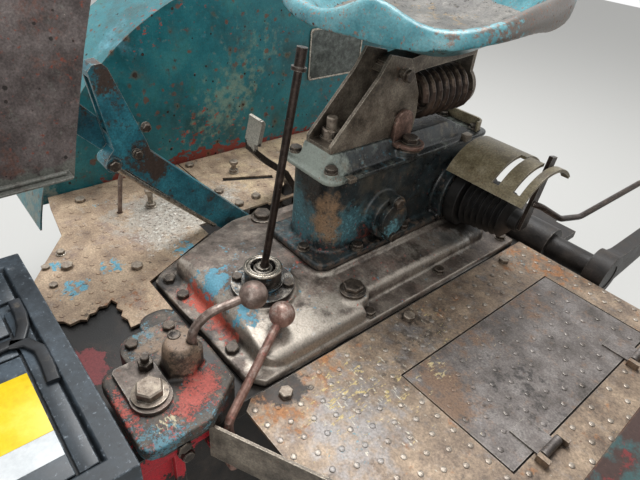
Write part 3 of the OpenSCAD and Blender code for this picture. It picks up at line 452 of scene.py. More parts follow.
def build_finishes(colours):
    """The station's finishes, each named for what the real surface is; many also hold painted shade and
    painted highlights.
    """
    guard, seat, box = (tuple(getattr(colours, k)) for k in ("guard_paint", "seat_paint", "box_paint"))
    # painted shade: near black in hollows, from ambient occlusion
    hollow_shade = coat("#171310", 0.42, 22, 0.66, 0.84, hollow=0.42, amount=0.92)
    dust = coat("#978872", 0.85, 18, 0.6, 0.82, up=0.06, amount=0.5)
    worn = coat("#b3ada3", 0.32, 5, 0.64, 0.8, metal=0.9, edge=0.36, amount=0.85)
    # Sand-cast iron under years of oil and shoes: brown grey, rubbed bright on its shoulders, with painted
    # highlights along the shoulders and on sloped faces, and painted shade in its hollows
    FINISH["worn_cast_iron"] = layered(
        "oily sand-cast iron", ("#453d36", "#736860", "#9b9084"), 46, 0.44, 0.35, (
        coat("#9a7f72", 0.5, 60, 0.52, 0.72, metal=0.2, amount=0.5),
        # painted highlight, partly real rubbed metal: bright metal on sloped faces and along the shoulders
        coat("#b9b0a4", 0.36, 34, 0.54, 0.8, metal=0.8, amount=0.9, slope=0.2,
             near=((156, 345, 36, 80, 0.16), (156, 410, 36, 90, 0.16), (156, 480, 36, 90, 0.16),
             (130, 305, 30, 60, 0.14), (150, 700, 44, 130, 0.1), (20, 330, 50, 110, 0.05))),
        # painted highlight, partly real bare metal: near white along the rear and near shoulders
        coat("#d2cfc8", 0.28, 20, 0.66, 0.84, metal=0.9, near=((137, 817, 45, 66, 0.28),
             (110, 770, 48, 44, 0.22), (160, 360, 34, 50, 0.08), (160, 440, 34, 50, 0.08))),
        coat("#5f9bb0", 0.55, 14, 0.66, 0.72, lift=0.5, ragged=0.4, near=((-14, 330, 46, 46, 0.26),
             (6, 312, 40, 30, 0.14), (84, 328, 42, 40, 0.24), (33, 440, 50, 34, 0.12),
             (-60, 400, 50, 50, 0.08), (112, 420, 48, 40, 0.06), (-64, 300, 30, 30, 0.12))),
        coat("#c4604f", 0.6, 12, 0.66, 0.72, lift=0.4, ragged=0.3, near=((-42, 302, 10, 36, 0.26),
             (0, 303, 11, 36, 0.28), (42, 303, 12, 36, 0.28), (80, 303, 15, 30, 0.24),
             (20, 470, 52, 50, 0.1), (120, 560, 50, 90, 0.05), (95, 400, 48, 50, 0.06))),
        coat("#7a4a2e", 0.8, 12, 0.64, 0.76, amount=0.6),
        # painted shade: near black in hollows, from ambient occlusion, and darker at the listed places
        coat("#14110e", 0.3, 34, 0.62, 0.82, hollow=0.36, amount=0.94, near=((5, 495, 52, 80, 0.14),
             (-94, 262, 8, 70, 0.24), (30, 268, 6, 40, 0.16), (90, 270, 6, 60, 0.16),
             (50, 381, 52, 66, 0.12), (84, 620, 52, 60, 0.12), (95, 850, 50, 105, 0.2))),
        coat("#221d19", 0.4, 8, 0.62, 0.72, amount=0.65),
        coat("#c9bfae", 0.5, 3, 0.7, 0.76, amount=0.6),
        dict(worn, amount=0.8)), 1.3, 0.34, seed=2.0, grit=0.2)
    # Rough cast iron below, caked with oil and earth: nearly black, red only by the control box, with painted
    # shade in its hollows and just under the deck's edge
    FINISH["caked_iron"] = layered("caked cast iron", ("#131110", "#26211e", "#3f3832"), 34, 0.5, 0.1, (
        coat("#c20c24", 0.32, 12, 0.72, 0.76, lift=0.4, ragged=0.3, near=((190, 150, -55, 80, 0.42),
             (150, 116, -60, 70, 0.36))),
        coat("#7d3a3c", 0.6, 12, 0.72, 0.77, lift=0.4, near=((-8, 108, -8, 50, 0.4),
             (24, 100, -20, 40, 0.3))),
        coat("#5c4a3a", 0.85, 10, 0.62, 0.76, amount=0.6),
        hollow_shade,
        dict(worn, amount=0.6),
        # painted shade: black just under the deck's edge
        coat("#0b0a09", 0.4, 30, 0.6, 0.8, near=((-84, 160, -8, 90, 0.3), (-100, 130, -8, 60, 0.2)))
    ), 1.8, 0.4, seed=4.0, grit=0.2)
    # Painted lift casting soaked in oil: dark teal black, with paint, primer and gold rust in places, and
    # painted shade in its hollows
    FINISH["oily_teal_casting"] = layered(
        "oil-soaked painted casting", ("#151b1d", "#232d30", "#374245"), 40, 0.34, 0.1, (
        coat("#4d7a83", 0.42, 22, 0.6, 0.88, ragged=0.4, amount=0.9, near=((-30, 500, 120, 88, 0.34),
             (6, 505, 90, 56, 0.16), (58, 556, 112, 60, 0.42), (95, 640, 96, 44, 0.3),
             (84, 850, 120, 90, 0.1), (50, 700, 90, 90, 0.04))),
        coat("#4f4c43", 0.45, 30, 0.5, 0.8, ragged=0.24, amount=0.8, near=((62, 640, 150, 110, 0.1),
             (50, 600, 200, 60, 0.1))),
        coat("#977a5d", 0.5, 20, 0.6, 0.92, ragged=0.5, amount=0.9, near=((48, 508, 150, 50, 0.34),
             (49, 510, 104, 46, 0.34), (92, 655, 140, 34, 0.22))),
        coat("#6aa0aa", 0.45, 7, 0.66, 0.72, ragged=0.4, lift=0.2, near=((58, 556, 110, 50, 0.14),
             (-28, 500, 110, 60, 0.1), (100, 632, 96, 30, 0.24))),
        coat("#93483c", 0.5, 8, 0.66, 0.73, ragged=0.5, lift=0.3, amount=0.8,
             near=((50, 532, 70, 50, 0.08), (-20, 500, 76, 60, 0.08), (58, 604, 84, 44, 0.16),
             (84, 812, 80, 40, 0.12), (20, 482, 62, 60, 0.06))),
        # painted shade: near black in hollows, from ambient occlusion; darker just below the lid's front edge
        # and at one place further back
        coat("#121110", 0.24, 26, 0.56, 0.8, hollow=0.3, amount=0.9, near=((8, 505, 186, 50, 0.3),
             (58, 760, 130, 120, 0.1))),
        coat("#6b5c50", 0.5, 14, 0.58, 0.74, amount=0.8, ragged=0.3, along=(("Z", 72, 56, 0.16),)),
        coat("#1a1917", 0.4, 7, 0.58, 0.68, amount=0.7, ragged=0.5),
        coat("#171615", 0.4, 4, 0.62, 0.67, amount=0.75),
        coat("#8f8374", 0.6, 4, 0.66, 0.72, amount=0.7),
        dict(worn, amount=0.6)), 1.4, 0.32, seed=5.0, grit=0.2)
    # Lid: pale grey-green paint left at the front corner, the rest black and glossy with oil, painted shade
    # in its hollows, and worn bare edges made pale as a painted highlight
    FINISH["grey_green_casting"] = layered(
        "thin grey-green paint on iron", ("#1c1e1f", "#2d3132", "#454b4b"), 34, 0.3, 0.15, (
        coat("#9da69c", 0.5, 22, 0.52, 0.82, ragged=0.24, amount=0.94, near=((34, 496, 210, 84, 0.32),
             (-30, 505, 210, 84, 0.3), (0, 900, 214, 40, 0.16))),
        coat("#8b8272", 0.5, 20, 0.56, 0.8, amount=0.75, near=((20, 800, 240, 90, 0.1),
             (30, 560, 214, 60, 0.08))),
        coat("#3f7f93", 0.45, 9, 0.66, 0.74, lift=0.3, amount=0.8, near=((56, 640, 206, 90, 0.08),
             (40, 560, 214, 60, 0.05))),
        coat("#121212", 0.22, 30, 0.56, 0.8, amount=0.85, near=((40, 690, 214, 110, 0.14),
             (36, 600, 214, 50, 0.1))),
        coat("#8a4f38", 0.75, 6, 0.66, 0.74, near=((46, 512, 214, 24, 0.2),)),
        hollow_shade,
        # worn bare edges, lightened further as a painted highlight
        dict(worn, colour="#d6d0c4", amount=1.0)), 1.1, 0.28, seed=6.0, grit=0.14)
    # Bare hot-rolled plate with grease and handling: olive brown grey with bright edges, and painted shade in
    # its hollows
    FINISH["greasy_plate_steel"] = layered(
        "greasy hot-rolled steel", ("#4b443b", "#756b5f", "#978d7e"), 34, 0.42, 0.35, (
        # painted shade: near black in hollows, from ambient occlusion
        coat("#17130f", 0.3, 26, 0.6, 0.8, hollow=0.36, amount=0.9),
        coat("#8d5a3c", 0.75, 9, 0.62, 0.72, amount=0.7, near=((35, 664, 356, 30, 0.1),)),
        coat("#a9a396", 0.34, 16, 0.6, 0.78, metal=0.85, amount=0.6),
        coat("#2b231d", 0.5, 4, 0.64, 0.7, amount=0.7),
        dict(worn, colour="#c4bbab", amount=1.0)), 1.0, 0.24, seed=7.0)
    # Drawn steel bar, dark brown with rubbed highlights
    FINISH["dark_bar_steel"] = layered(
        "dark drawn steel bar", ("#231d1a", "#3a302b", "#544840"), 20, 0.36, 0.6, (
        coat("#978c7f", 0.32, 14, 0.62, 0.8, metal=0.9, amount=0.5),
        coat("#6f4a42", 0.6, 7, 0.64, 0.74, amount=0.6),
        worn), 0.9, 0.2, seed=8.0, grit=0.08)
    # Rolled spring steel: brown scale, with painted light on the upper faces of the turns and painted shade
    # between them
    FINISH["scaled_spring_steel"] = layered(
        "scaled spring steel", ("#3a2e27", "#4b3c33", "#5c4b40"), 40, 0.42, 0.45, (
        # painted light: lighter on faces that look up, less on faces that look down
        coat("#a6937f", 0.4, 12, 0.5, 0.74, metal=0.6, up=0.14, down=-0.1, amount=0.6),
        # painted shade: near black between the turns, from ambient occlusion
        coat("#120e0c", 0.5, 20, 0.62, 0.8, hollow=0.46)), 0.9, 0.16, seed=8.4, grit=0.06)
    # Lever steel polished by the hand, pink primer left in places
    FINISH["hand_polished_steel"] = layered(
        "hand-polished steel", ("#574840", "#7c6b62", "#a18f85"), 20, 0.44, 0.5, (
        coat("#cbbfb5", 0.38, 20, 0.56, 0.78, metal=0.8, up=0.06, amount=0.7),
        coat("#97685f", 0.5, 13, 0.58, 0.7, lift=0.2, amount=0.7, near=((136, 304, 120, 26, 0.1),)),
        coat("#231c18", 0.5, 4, 0.64, 0.7, amount=0.7)), 0.8, 0.2, seed=9.0, grit=0.1)
    # Lever rubbed down to brown steel and pink primer
    FINISH["primer_rubbed_steel"] = layered(
        "steel rubbed to pink primer", ("#67493f", "#8b6a5e", "#aa897d"), 20, 0.46, 0.35, (
        coat("#c7b8ad", 0.4, 14, 0.56, 0.76, metal=0.7, up=0.06, amount=0.7,
             near=((135, 357, 84, 30, 0.12),)),
        coat("#b06a60", 0.5, 9, 0.62, 0.7, amount=0.7, near=((141, 346, 44, 30, 0.16),
             (160, 250, 30, 120, 0.04))),
        coat("#2a211c", 0.5, 4, 0.65, 0.7, amount=0.7)), 0.8, 0.2, seed=9.5, grit=0.1)
    # Collar: oily dark steel with a polished ring and traces of blue, and painted shade in its hollows
    FINISH["oily_collar_steel"] = layered(
        "oily collar steel", ("#1b1918", "#3a3531", "#5f574f"), 16, 0.36, 0.35, (
        coat("#a39c92", 0.26, 14, 0.54, 0.72, metal=0.9, up=0.1, amount=0.85),
        coat("#4f87a0", 0.5, 14, 0.6, 0.7, ragged=0.3, near=((50, 381, 58, 46, 0.06),
             (80, 345, 60, 34, 0.12), (20, 350, 60, 34, 0.1))),
        coat("#9a4a40", 0.6, 10, 0.64, 0.72),
        # painted shade: near black in hollows, from ambient occlusion
        coat("#0e0c0b", 0.25, 18, 0.58, 0.72, hollow=0.4),
        dict(worn, amount=0.9)), 0.9, 0.25, seed=3.0, grit=0.12)
    # Zinc-plated bolts gone to brown rust, bright on their worn faces, with painted shade in their hollows
    FINISH["rusty_bolt_zinc"] = layered(
        "rusty zinc-plated steel", ("#6a5d4f", "#94877a", "#b5a997"), 14, 0.42, 0.45, (
        coat("#84563c", 0.75, 6, 0.62, 0.72, amount=0.7),
        # painted shade: near black in hollows, from ambient occlusion
        coat("#15110e", 0.35, 8, 0.6, 0.76, hollow=0.34),
        coat("#cfc6b6", 0.32, 6, 0.58, 0.76, metal=0.8, edge=0.36, amount=0.8)
    ), 0.7, 0.26, seed=10.0, grit=0.08)
    # The same bolts where oil keeps them dark: brown-black, with only the arrises bright and painted shade in
    # their hollows
    FINISH["oily_bolt_steel"] = layered(
        "oily bolt steel", ("#2c2622", "#4d443c", "#6d6156"), 12, 0.36, 0.45, (
        coat("#7c4a36", 0.7, 6, 0.63, 0.72, amount=0.7),
        # painted shade: near black in hollows, from ambient occlusion
        coat("#12100e", 0.3, 8, 0.58, 0.74, hollow=0.36),
        coat("#b8ad9d", 0.34, 6, 0.6, 0.78, metal=0.8, edge=0.34, amount=0.75)
    ), 0.7, 0.26, seed=10.5, grit=0.08)
    # Deck sheet, paint long gone: beige, rubbed white grey where feet go, sky blue in places, with painted
    # shade in its hollows
    blues = ((-197, 223, 0, 40, 0.26), (-170, 360, 0, 44, 0.26), (-146, 404, 0, 40, 0.24),
             (-176, 148, 0, 42, 0.26), (-249, 150, 0, 28, 0.26), (-400, 290, 0, 40, 0.14),
             (-120, 330, 0, 40, 0.12))
    bare = ((-312, 350, 0, 130, 0.24), (-290, 440, 0, 130, 0.24), (-318, 547, 0, 70, 0.14),
            (-215, 330, 0, 70, 0.12))
    FINISH["bleached_deck_sheet"] = layered(
        "bleached nubbed sheet", ("#806c5c", "#a9927a", "#c9b297"), 60, 0.55, 0.1, (
        coat("#ccb694", 0.6, 50, 0.56, 0.74, amount=0.8, along=(("Y", 500, 620, 0.12),)),
        coat("#84706a", 0.5, 60, 0.54, 0.74, amount=0.7, near=((-330, 300, 0, 110, 0.14),)),
        coat("#b3aba0", 0.4, 26, 0.56, 0.82, metal=0.35, amount=0.9, ragged=0.3, near=bare),
        coat("#d9d5cc", 0.36, 8, 0.66, 0.76, metal=0.4, amount=0.8, ragged=0.4, stretch=(1, 0.5, 1),
             near=tuple((x, y, z, r, 0.1) for x, y, z, r, _ in bare)),
        coat("#5c534b", 0.45, 7, 0.64, 0.72, metal=0.3, amount=0.8,
             near=tuple((x, y, z, r, 0.07) for x, y, z, r, _ in bare)),
        coat("#64a3b8", 0.55, 11, 0.72, 0.77, lift=0.4, ragged=0.3, near=blues),
        coat("#8f5c38", 0.8, 12, 0.66, 0.76, edge=0.2, amount=0.75, near=((-120, 190, 0, 70, 0.1),
             (-70, 225, 0, 60, 0.1))),
        coat("#463a31", 0.7, 15, 0.7, 0.78, spots=True, amount=0.8),
        coat("#4b3f35", 0.7, 4, 0.64, 0.7, amount=0.65),
        # painted shade: dark in hollows, from ambient occlusion, and darker at one place in front
        coat("#2a221c", 0.6, 20, 0.64, 0.8, hollow=0.35, amount=0.85, near=((-100, 150, 0, 30, 0.14),))
    ), 1.3, 0.3, seed=11.0)
    # Near deck sheet: orange rust by the seam, walked grey in the middle, pale yellow scratches, painted
    # shade in its hollows
    for key, title, tones in (
            ("walked_deck_sheet", "walked nubbed sheet", ("#6f6054", "#998673", "#bca68e")),
            ("polished_nub_steel", "nub tops polished by shoes", ("#7d7166", "#9f9487", "#bab0a3"))):
        top = 0.0 if key.startswith("walked") else 0.06
        FINISH[key] = layered(title, tones, 50, 0.46 - 2 * top, 0.3 + 5 * top, (
            coat("#b87f50", 0.65, 20, 0.6 + top, 0.76 + top, amount=0.85, ragged=0.3,
                 near=((190, 300, 0, 130, 0.16), (200, 420, 0, 80, 0.12), (215, 640, 0, 90, 0.06),
                 (225, 900, 0, 110, 0.1), (300, 925, 0, 80, 0.1))),
            coat("#918e8d", 0.42, 26, 0.54, 0.8, metal=0.5, amount=0.85, ragged=0.24,
                 near=((290, 380, 0, 130, 0.16), (250, 540, 0, 90, 0.14), (245, 760, 0, 90, 0.06),
                 (330, 320, 0, 90, 0.12))),
            coat("#5d544c", 0.4, 14, 0.62 + top, 0.74 + top, metal=0.4, amount=0.8,
                 near=((250, 575, 0, 80, 0.14), (272, 470, 0, 60, 0.1))),
            coat("#86aab3", 0.55, 8, 0.7, 0.75, lift=0.3, ragged=0.3, near=((229, 881, 0, 60, 0.1),
                 (300, 1000, 0, 80, 0.08), (330, 330, 0, 60, 0.1))),
            coat("#dcc68c", 0.6, 7, 0.68, 0.72, stretch=(1, 0.3, 1), ragged=0.3,
                 near=((285, 430, 0, 120, 0.1), (250, 330, 0, 100, 0.08), (245, 600, 0, 80, 0.08))),
            coat("#e3ddca", 0.5, 5, 0.68, 0.72, stretch=(0.3, 1, 1), ragged=0.3,
                 near=((290, 400, 0, 120, 0.08), (245, 560, 0, 110, 0.06))),
            coat("#74462c", 0.8, 8, 0.66, 0.74, edge=0.2, amount=0.75),
            # painted shade: near black in hollows, from ambient occlusion, and darker along the seam by the
            # gearbox cover
            coat("#1f1915", 0.4, 14, 0.66, 0.8, hollow=0.3, amount=0.9, near=((190, 296, 0, 52, 0.32),
                 (214, 322, 0, 44, 0.26), (212, 575, 0, 34, 0.18), (190, 640, 0, 60, 0.08),
                 (192, 780, 0, 80, 0.08))),
            coat("#3b332b", 0.6, 4, 0.65, 0.7, amount=0.6),
            dict(worn, amount=0.6)), 1.1, 0.28, seed=12.0)
    # Hatch lid: lilac grey, brown towards its front corner, polished along its edges
    FINISH["dull_hatch_sheet"] = layered(
        "dull nubbed hatch sheet", ("#5c5651", "#7b7470", "#96908c"), 50, 0.4, 0.4, (
        coat("#97775d", 0.55, 20, 0.56, 0.78, ragged=0.4, amount=0.75, near=((306, 490, 0, 110, 0.2),
             (300, 620, 0, 70, 0.16), (300, 780, 0, 110, 0.14), (380, 485, 0, 70, 0.14))),
        coat("#a3a2a4", 0.34, 26, 0.56, 0.82, metal=0.7, amount=0.65),
        coat("#3d3733", 0.5, 9, 0.62, 0.72, amount=0.5, ragged=0.4),
        coat("#d9c79a", 0.6, 6, 0.69, 0.73, stretch=(1, 0.3, 1), near=((312, 520, 0, 60, 0.14),
             (330, 640, 0, 60, 0.06))),
        coat("#70482e", 0.8, 7, 0.67, 0.75, amount=0.7),
        coat("#272321", 0.45, 14, 0.62, 0.8, amount=0.8, near=((420, 600, 0, 110, 0.16),)),
        worn), 1.1, 0.26, seed=13.0)
    # Mudguard enamel, brushed on: teal, clouded green, pale haze low down, red primer and rust through it,
    # and a painted highlight on the upper rim
    FINISH["chalky_teal_enamel"] = layered(
        "chalky teal enamel", ("#1a575c", guard, "#3a8b90"), 130, 0.38, 0.0, (
        coat("#35705f", 0.45, 80, 0.56, 0.74, amount=0.55, stretch=(1, 1.4, 1)),
        # painted highlight: pale sky blue on the upper front rim
        coat("#7cc0d4", 0.5, 50, 0.62, 0.98, amount=0.9, near=((-530, 380, 320, 90, 0.34),)),
        coat("#93a892", 0.6, 20, 0.62, 0.84, ragged=0.3, amount=0.6, near=((-510, 650, 130, 110, 0.26),
             (-510, 740, 240, 130, 0.16), (-510, 560, 60, 80, 0.14))),
        coat("#163d44", 0.5, 26, 0.6, 0.76, amount=0.6, ragged=0.3),
        coat("#8c3b30", 0.6, 14, 0.68, 0.75, ragged=0.3, lift=-0.3, stretch=(1, 0.6, 1),
             along=(("Z", 34, 0, 0.3), ("Y", 330, 270, -0.5)), near=((-503, 600, 44, 110, 0.1),
             (-503, 520, 60, 70, 0.06))),
        coat("#b0503f", 0.65, 10, 0.68, 0.73, ragged=0.4, stretch=(1, 0.5, 1),
             near=((-503, 570, 90, 120, 0.08), (-503, 470, 330, 110, 0.08), (-503, 680, 60, 80, 0.06))),
        coat("#6f5a3c", 0.75, 34, 0.5, 0.72, spots=True, ragged=0.7, amount=0.6),
        coat("#7d4a34", 0.8, 23, 0.56, 0.72, spots=True, ragged=0.9, amount=0.75),
        coat("#3a241a", 0.85, 34, 0.7, 0.76, spots=True, ragged=0.5, lift=0.5),
        coat("#2a1a14", 0.85, 15, 0.72, 0.78, spots=True, ragged=0.3, lift=0.5),
        coat("#6a3a2c", 0.8, 5, 0.68, 0.71, amount=0.8),
        coat("#8f968c", 0.6, 20, 0.6, 0.78, amount=0.85, along=(("Y", 270, 200, 0.2),)),
        coat("#435b59", 0.5, 60, 0.5, 0.82, ragged=0.3, amount=0.9, along=(("X", 500, 560, 0.4),)),
        coat("#47342f", 0.55, 30, 0.6, 0.76, ragged=0.4, along=(("X", 500, 560, 0.26),
             ("X", 574, 596, -0.2))),
        coat("#7c3434", 0.55, 14, 0.66, 0.74, ragged=0.5, edge=0.1, near=((568, 400, 230, 200, 0.08),)),
        coat("#8a6a54", 0.7, 5, 0.62, 0.74, edge=0.4)), 1.5, 0.2, seed=14.0, grit=0.12)
    # Hand lever: teal over dark brown undercoat, bare on the arrises, with painted shade in its hollows
    FINISH["rubbed_teal_paint"] = layered(
        "rubbed teal paint on channel steel", ("#1c5260", "#28707f", "#3a8c9b"), 44, 0.38, 0.05, (
        coat("#43362f", 0.45, 60, 0.54, 0.66, ragged=0.45, lift=-0.3, near=((-200, 330, 190, 75, 0.14),
             (-200, 262, 330, 55, 0.12), (-200, 258, 205, 30, 0.1))),
        coat("#2a201b", 0.6, 4, 0.62, 0.68),
        coat("#8a5038", 0.7, 9, 0.66, 0.74),
        hollow_shade,
        dict(worn, colour="#c4c0b8", amount=1.0)), 1.0, 0.22, seed=15.0)
    # Control box: coral top coat worn through slate blue to oily iron, with painted shade in its hollows
    FINISH["coral_over_slate"] = layered(
        "coral paint over slate primer", ("#2b2927", "#464039", "#665c51"), 26, 0.42, 0.15, (
        coat("#5d8f9e", 0.5, 13, 0.61, 0.68, lift=0.3, ragged=0.6, harsh=0.8,
             near=((190, 110, 42, 60, 0.06), (214, 118, 40, 56, 0.07), (212, 142, 40, 50, 0.06),
             (128, 104, 40, 50, 0.08), (205, 200, 34, 40, 0.09), (25, 190, 20, 40, 0.2),
             (60, 168, 36, 30, 0.1))),
        coat(box, 0.5, 14, 0.61, 0.67, lift=0.35, ragged=0.6, harsh=0.8, near=((150, 216, 42, 36, 0.13),
             (164, 200, 42, 32, 0.17), (180, 178, 42, 28, 0.15), (188, 156, 42, 28, 0.12),
             (128, 108, 42, 44, 0.1), (160, 106, 42, 44, 0.08), (196, 220, 30, 34, 0.08),
             (40, 222, 30, 30, 0.1), (205, 112, 40, 44, 0.02))),
        coat("#957f6b", 0.52, 20, 0.54, 0.74, amount=0.9, ragged=0.3, near=((66, 205, 34, 60, 0.2),
             (101, 200, 90, 50, 0.3), (115, 201, 60, 40, 0.16))),
        # painted shade: near black in hollows, from ambient occlusion, and darker at three places on top
        coat("#131110", 0.28, 24, 0.6, 0.8, hollow=0.34, amount=0.92, near=((112, 160, 44, 40, 0.14),
             (120, 225, 40, 30, 0.1), (192, 190, 42, 30, 0.06))),
        coat("#1b1917", 0.4, 7, 0.6, 0.67, amount=0.8, ragged=0.5),
        coat("#dccfae", 0.6, 4, 0.68, 0.72, stretch=(0.4, 1, 1), near=((188, 142, 42, 26, 0.14),)),
        dict(worn, amount=0.7)), 1.4, 0.36, seed=16.0, grit=0.2)
    # Cowl sheet: primer brown grey with rust blooms, pits and scratches
    FINISH["rust_bloomed_sheet"] = layered(
        "rust-bloomed primer on sheet", ("#4b4341", "#6c6361", "#8f8582"), 52, 0.46, 0.12, (
        coat("#85594a", 0.65, 44, 0.55, 0.74, amount=0.75, ragged=0.4),
        coat("#a0523f", 0.75, 10, 0.61, 0.7, lift=0.3, amount=0.85, ragged=0.4),
        coat("#b09288", 0.6, 8, 0.64, 0.74, amount=0.6),
        coat("#2a2321", 0.55, 7, 0.63, 0.7, amount=0.85),
        coat("#1d1816", 0.6, 14, 0.68, 0.76, spots=True, amount=0.85, ragged=0.3),
        coat("#ddd5ca", 0.5, 3, 0.7, 0.74, amount=0.7),
        coat("#878a82", 0.42, 20, 0.56, 0.76, amount=0.85, along=(("Z", 226, 208, 0.26),)),
        worn), 1.2, 0.28, seed=17.0)
    # Quadrant guard: olive paint with fine red-brown speckle, and painted shade in its hollows
    FINISH["speckled_olive_paint"] = layered(
        "speckled olive paint", ("#655a44", "#857a60", "#9f957c"), 40, 0.42, 0.1, (
        coat("#80563f", 0.65, 7, 0.6, 0.7, lift=-0.2, amount=0.8),
        coat("#3a2c21", 0.7, 3, 0.62, 0.68, amount=0.8),
        coat("#bdb39a", 0.45, 26, 0.6, 0.8, up=0.03, amount=0.6),
        hollow_shade,
        worn), 0.9, 0.22, seed=18.0)
    # Black paint under road dirt
    FINISH["dirty_black_paint"] = layered(
        "dirty black frame paint", ("#151210", "#241f1b", "#3a322b"), 30, 0.55, 0.05, (
        coat("#5f402c", 0.85, 14, 0.62, 0.76, amount=0.8),
        dict(dust, amount=0.35),
        dict(worn, amount=0.5)), 1.4, 0.3, seed=19.0)
    # Pan seat: sky blue with rust flecks in front, rim rubbed grey on the right, dark green behind, painted
    # shade on faces that look down and in hollows
    FINISH["worn_seat_enamel"] = layered(
        "worn sky-blue seat enamel", ("#407f8a", seat, "#82b6bd"), 70, 0.33, 0.0, (
        coat("#2a6a7e", 0.36, 40, 0.58, 0.78, amount=0.7, ragged=0.2),
        # dark green paint behind, and painted shade: darker on faces that look down, less on faces that look
        # up
        coat("#1d4f52", 0.35, 30, 0.62, 0.74, down=0.1, up=-0.2, near=((190, 880, 420, 170, 0.24),
             (200, 780, 400, 110, 0.16))),
        coat("#6f6963", 0.34, 16, 0.64, 0.76, metal=0.6, lift=-0.2, ragged=0.3,
             near=((192, 690, 462, 110, 0.26), (186, 800, 468, 110, 0.28), (170, 900, 480, 130, 0.28),
             (150, 592, 452, 40, 0.14), (-160, 640, 440, 60, 0.1)), edge=0.1),
        coat("#a7765a", 0.6, 9, 0.66, 0.73, ragged=0.4, amount=0.8, near=((-60, 545, 440, 120, 0.08),
             (20, 545, 436, 90, 0.04))),
        coat("#9a6040", 0.75, 4.5, 0.59, 0.65, lift=0.3, amount=0.85, ragged=0.4),
        coat("#5a2f1c", 0.8, 12, 0.7, 0.76, spots=True, ragged=0.4),
        coat("#3c241a", 0.8, 3, 0.68, 0.72, amount=0.8),
        # painted shade: dark in hollows, from ambient occlusion
        coat("#1d2a2a", 0.5, 14, 0.64, 0.82, hollow=0.3, amount=0.8),
        coat("#6b5a50", 0.6, 6, 0.6, 0.72, edge=0.34)), 1.1, 0.16, seed=20.0, grit=0.14)
    # Cracked grey leathercloth with tan foam in the tears
    FINISH["cracked_leathercloth"] = layered(
        "cracked grey leathercloth", ("#4c4844", "#6c6862", "#8b867f"), 46, 0.5, 0.0, (
        coat("#a58f70", 0.9, 26, 0.61, 0.66, lift=-0.9, ragged=0.4, amount=0.8,
             near=((-20, 790, 400, 110, 0.04),)),
        coat("#2a2724", 0.7, 10, 0.585, 0.64, amount=0.85, lift=-0.5, ragged=0.4),
        coat("#b1aca3", 0.42, 14, 0.6, 0.78, amount=0.6)), 1.6, 0.6, seed=21.0)
    # Moulded polypropylene battery case, slate grey with dust and scuffs, painted shade in its hollows and a
    # painted highlight along its edges
    FINISH["battery_polypropylene"] = layered(
        "moulded grey polypropylene", ("#20272d", "#303940", "#46525c"), 60, 0.42, 0.0, (
        coat("#8b9196", 0.6, 16, 0.62, 0.84, up=0.03, amount=0.45),
        coat("#a9a894", 0.6, 6, 0.68, 0.74, amount=0.6),
        # painted shade: near black in hollows, from ambient occlusion
        coat("#0e1114", 0.5, 12, 0.62, 0.8, hollow=0.34, amount=0.9),
        # scuffed edges, made pale bluish as a painted highlight
        coat("#9fabb5", 0.35, 5, 0.58, 0.76, edge=0.36, amount=0.8)), 0.8, 0.12, seed=22.0, grit=0.12)
    FINISH["black_moulding"] = layered(
        "black moulded polypropylene", ("#0f1113", "#171b1f", "#242a31"), 30, 0.38, 0.0, (
        dict(dust, amount=0.3),), 0.8, 0.12, seed=23.0, grit=0.1)
    # Nitrile bellows: matt black, dust in the folds
    FINISH["matt_rubber"] = layered("matt nitrile rubber", ("#0d0d0d", "#151413", "#201e1c"), 20, 0.5, 0.0, (
        dict(dust, amount=0.3),), 0.8, 0.18, seed=24.0)
    # Etched aluminium plate, dark, dull and stained
    FINISH["stained_aluminium"] = layered(
        "stained etched aluminium", ("#3c403d", "#565b57", "#747a75"), 14, 0.42, 0.5, (
        coat("#2a2c2a", 0.6, 5, 0.56, 0.68, amount=0.8),
        coat("#a7aca6", 0.4, 4, 0.62, 0.72, metal=0.6, amount=0.7),
        coat("#7b4c35", 0.8, 7, 0.66, 0.74)), 0.6, 0.2, seed=25.0, grit=0.12)
    FINISH["yellow_label"] = layered("yellow vinyl label", ("#e0be10", "#f0d01c", "#f6dc46"), 40, 0.4, 0.0, (
        coat("#8c8468", 0.8, 8, 0.66, 0.8, amount=0.5),), 0.6, 0.05, seed=26.0, grit=0.03)
    FINISH["white_label"] = layered("white vinyl label", ("#c6cccf", "#dbe0e2", "#e9ecec"), 40, 0.45, 0.0, (
        coat("#84847c", 0.8, 9, 0.64, 0.8, amount=0.5),), 0.6, 0.05, seed=27.0, grit=0.03)
    # Ground rod, worn bright
    FINISH["bright_rod"] = layered("bright ground rod", ("#8d867b", "#aba498", "#c7c1b5"), 12, 0.26, 0.9, (
        coat("#4a3d33", 0.5, 7, 0.62, 0.74),), 0.6, 0.12, seed=28.0, grit=0.06)
    # Turned rings at the gear lever's foot, polished, with painted shade in the grooves
    FINISH["polished_ring_steel"] = layered(
        "polished ring steel with painted groove shade", ("#7a7368", "#a0988c", "#c4bcb0"), 20, 0.26, 0.9, (
        # painted shade: near black in the grooves, from ambient occlusion
        coat("#15120f", 0.3, 9, 0.58, 0.72, hollow=0.55),
        coat("#6a4e3c", 0.6, 5, 0.68, 0.74)), 0.6, 0.1, seed=28.5, grit=0.05)
    # Forged lug under brown rust, with painted shade in its hollows
    FINISH["brown_lug_steel"] = layered(
        "brown forged lug", ("#4a3831", "#6f564b", "#93776a"), 16, 0.5, 0.2, (
        coat("#b08f80", 0.5, 8, 0.62, 0.72, amount=0.8, near=((36, 660, 290, 30, 0.12),)),
        coat("#2a201b", 0.5, 5, 0.64, 0.72, amount=0.8),
        hollow_shade,
        worn), 1.0, 0.3, seed=28.8)
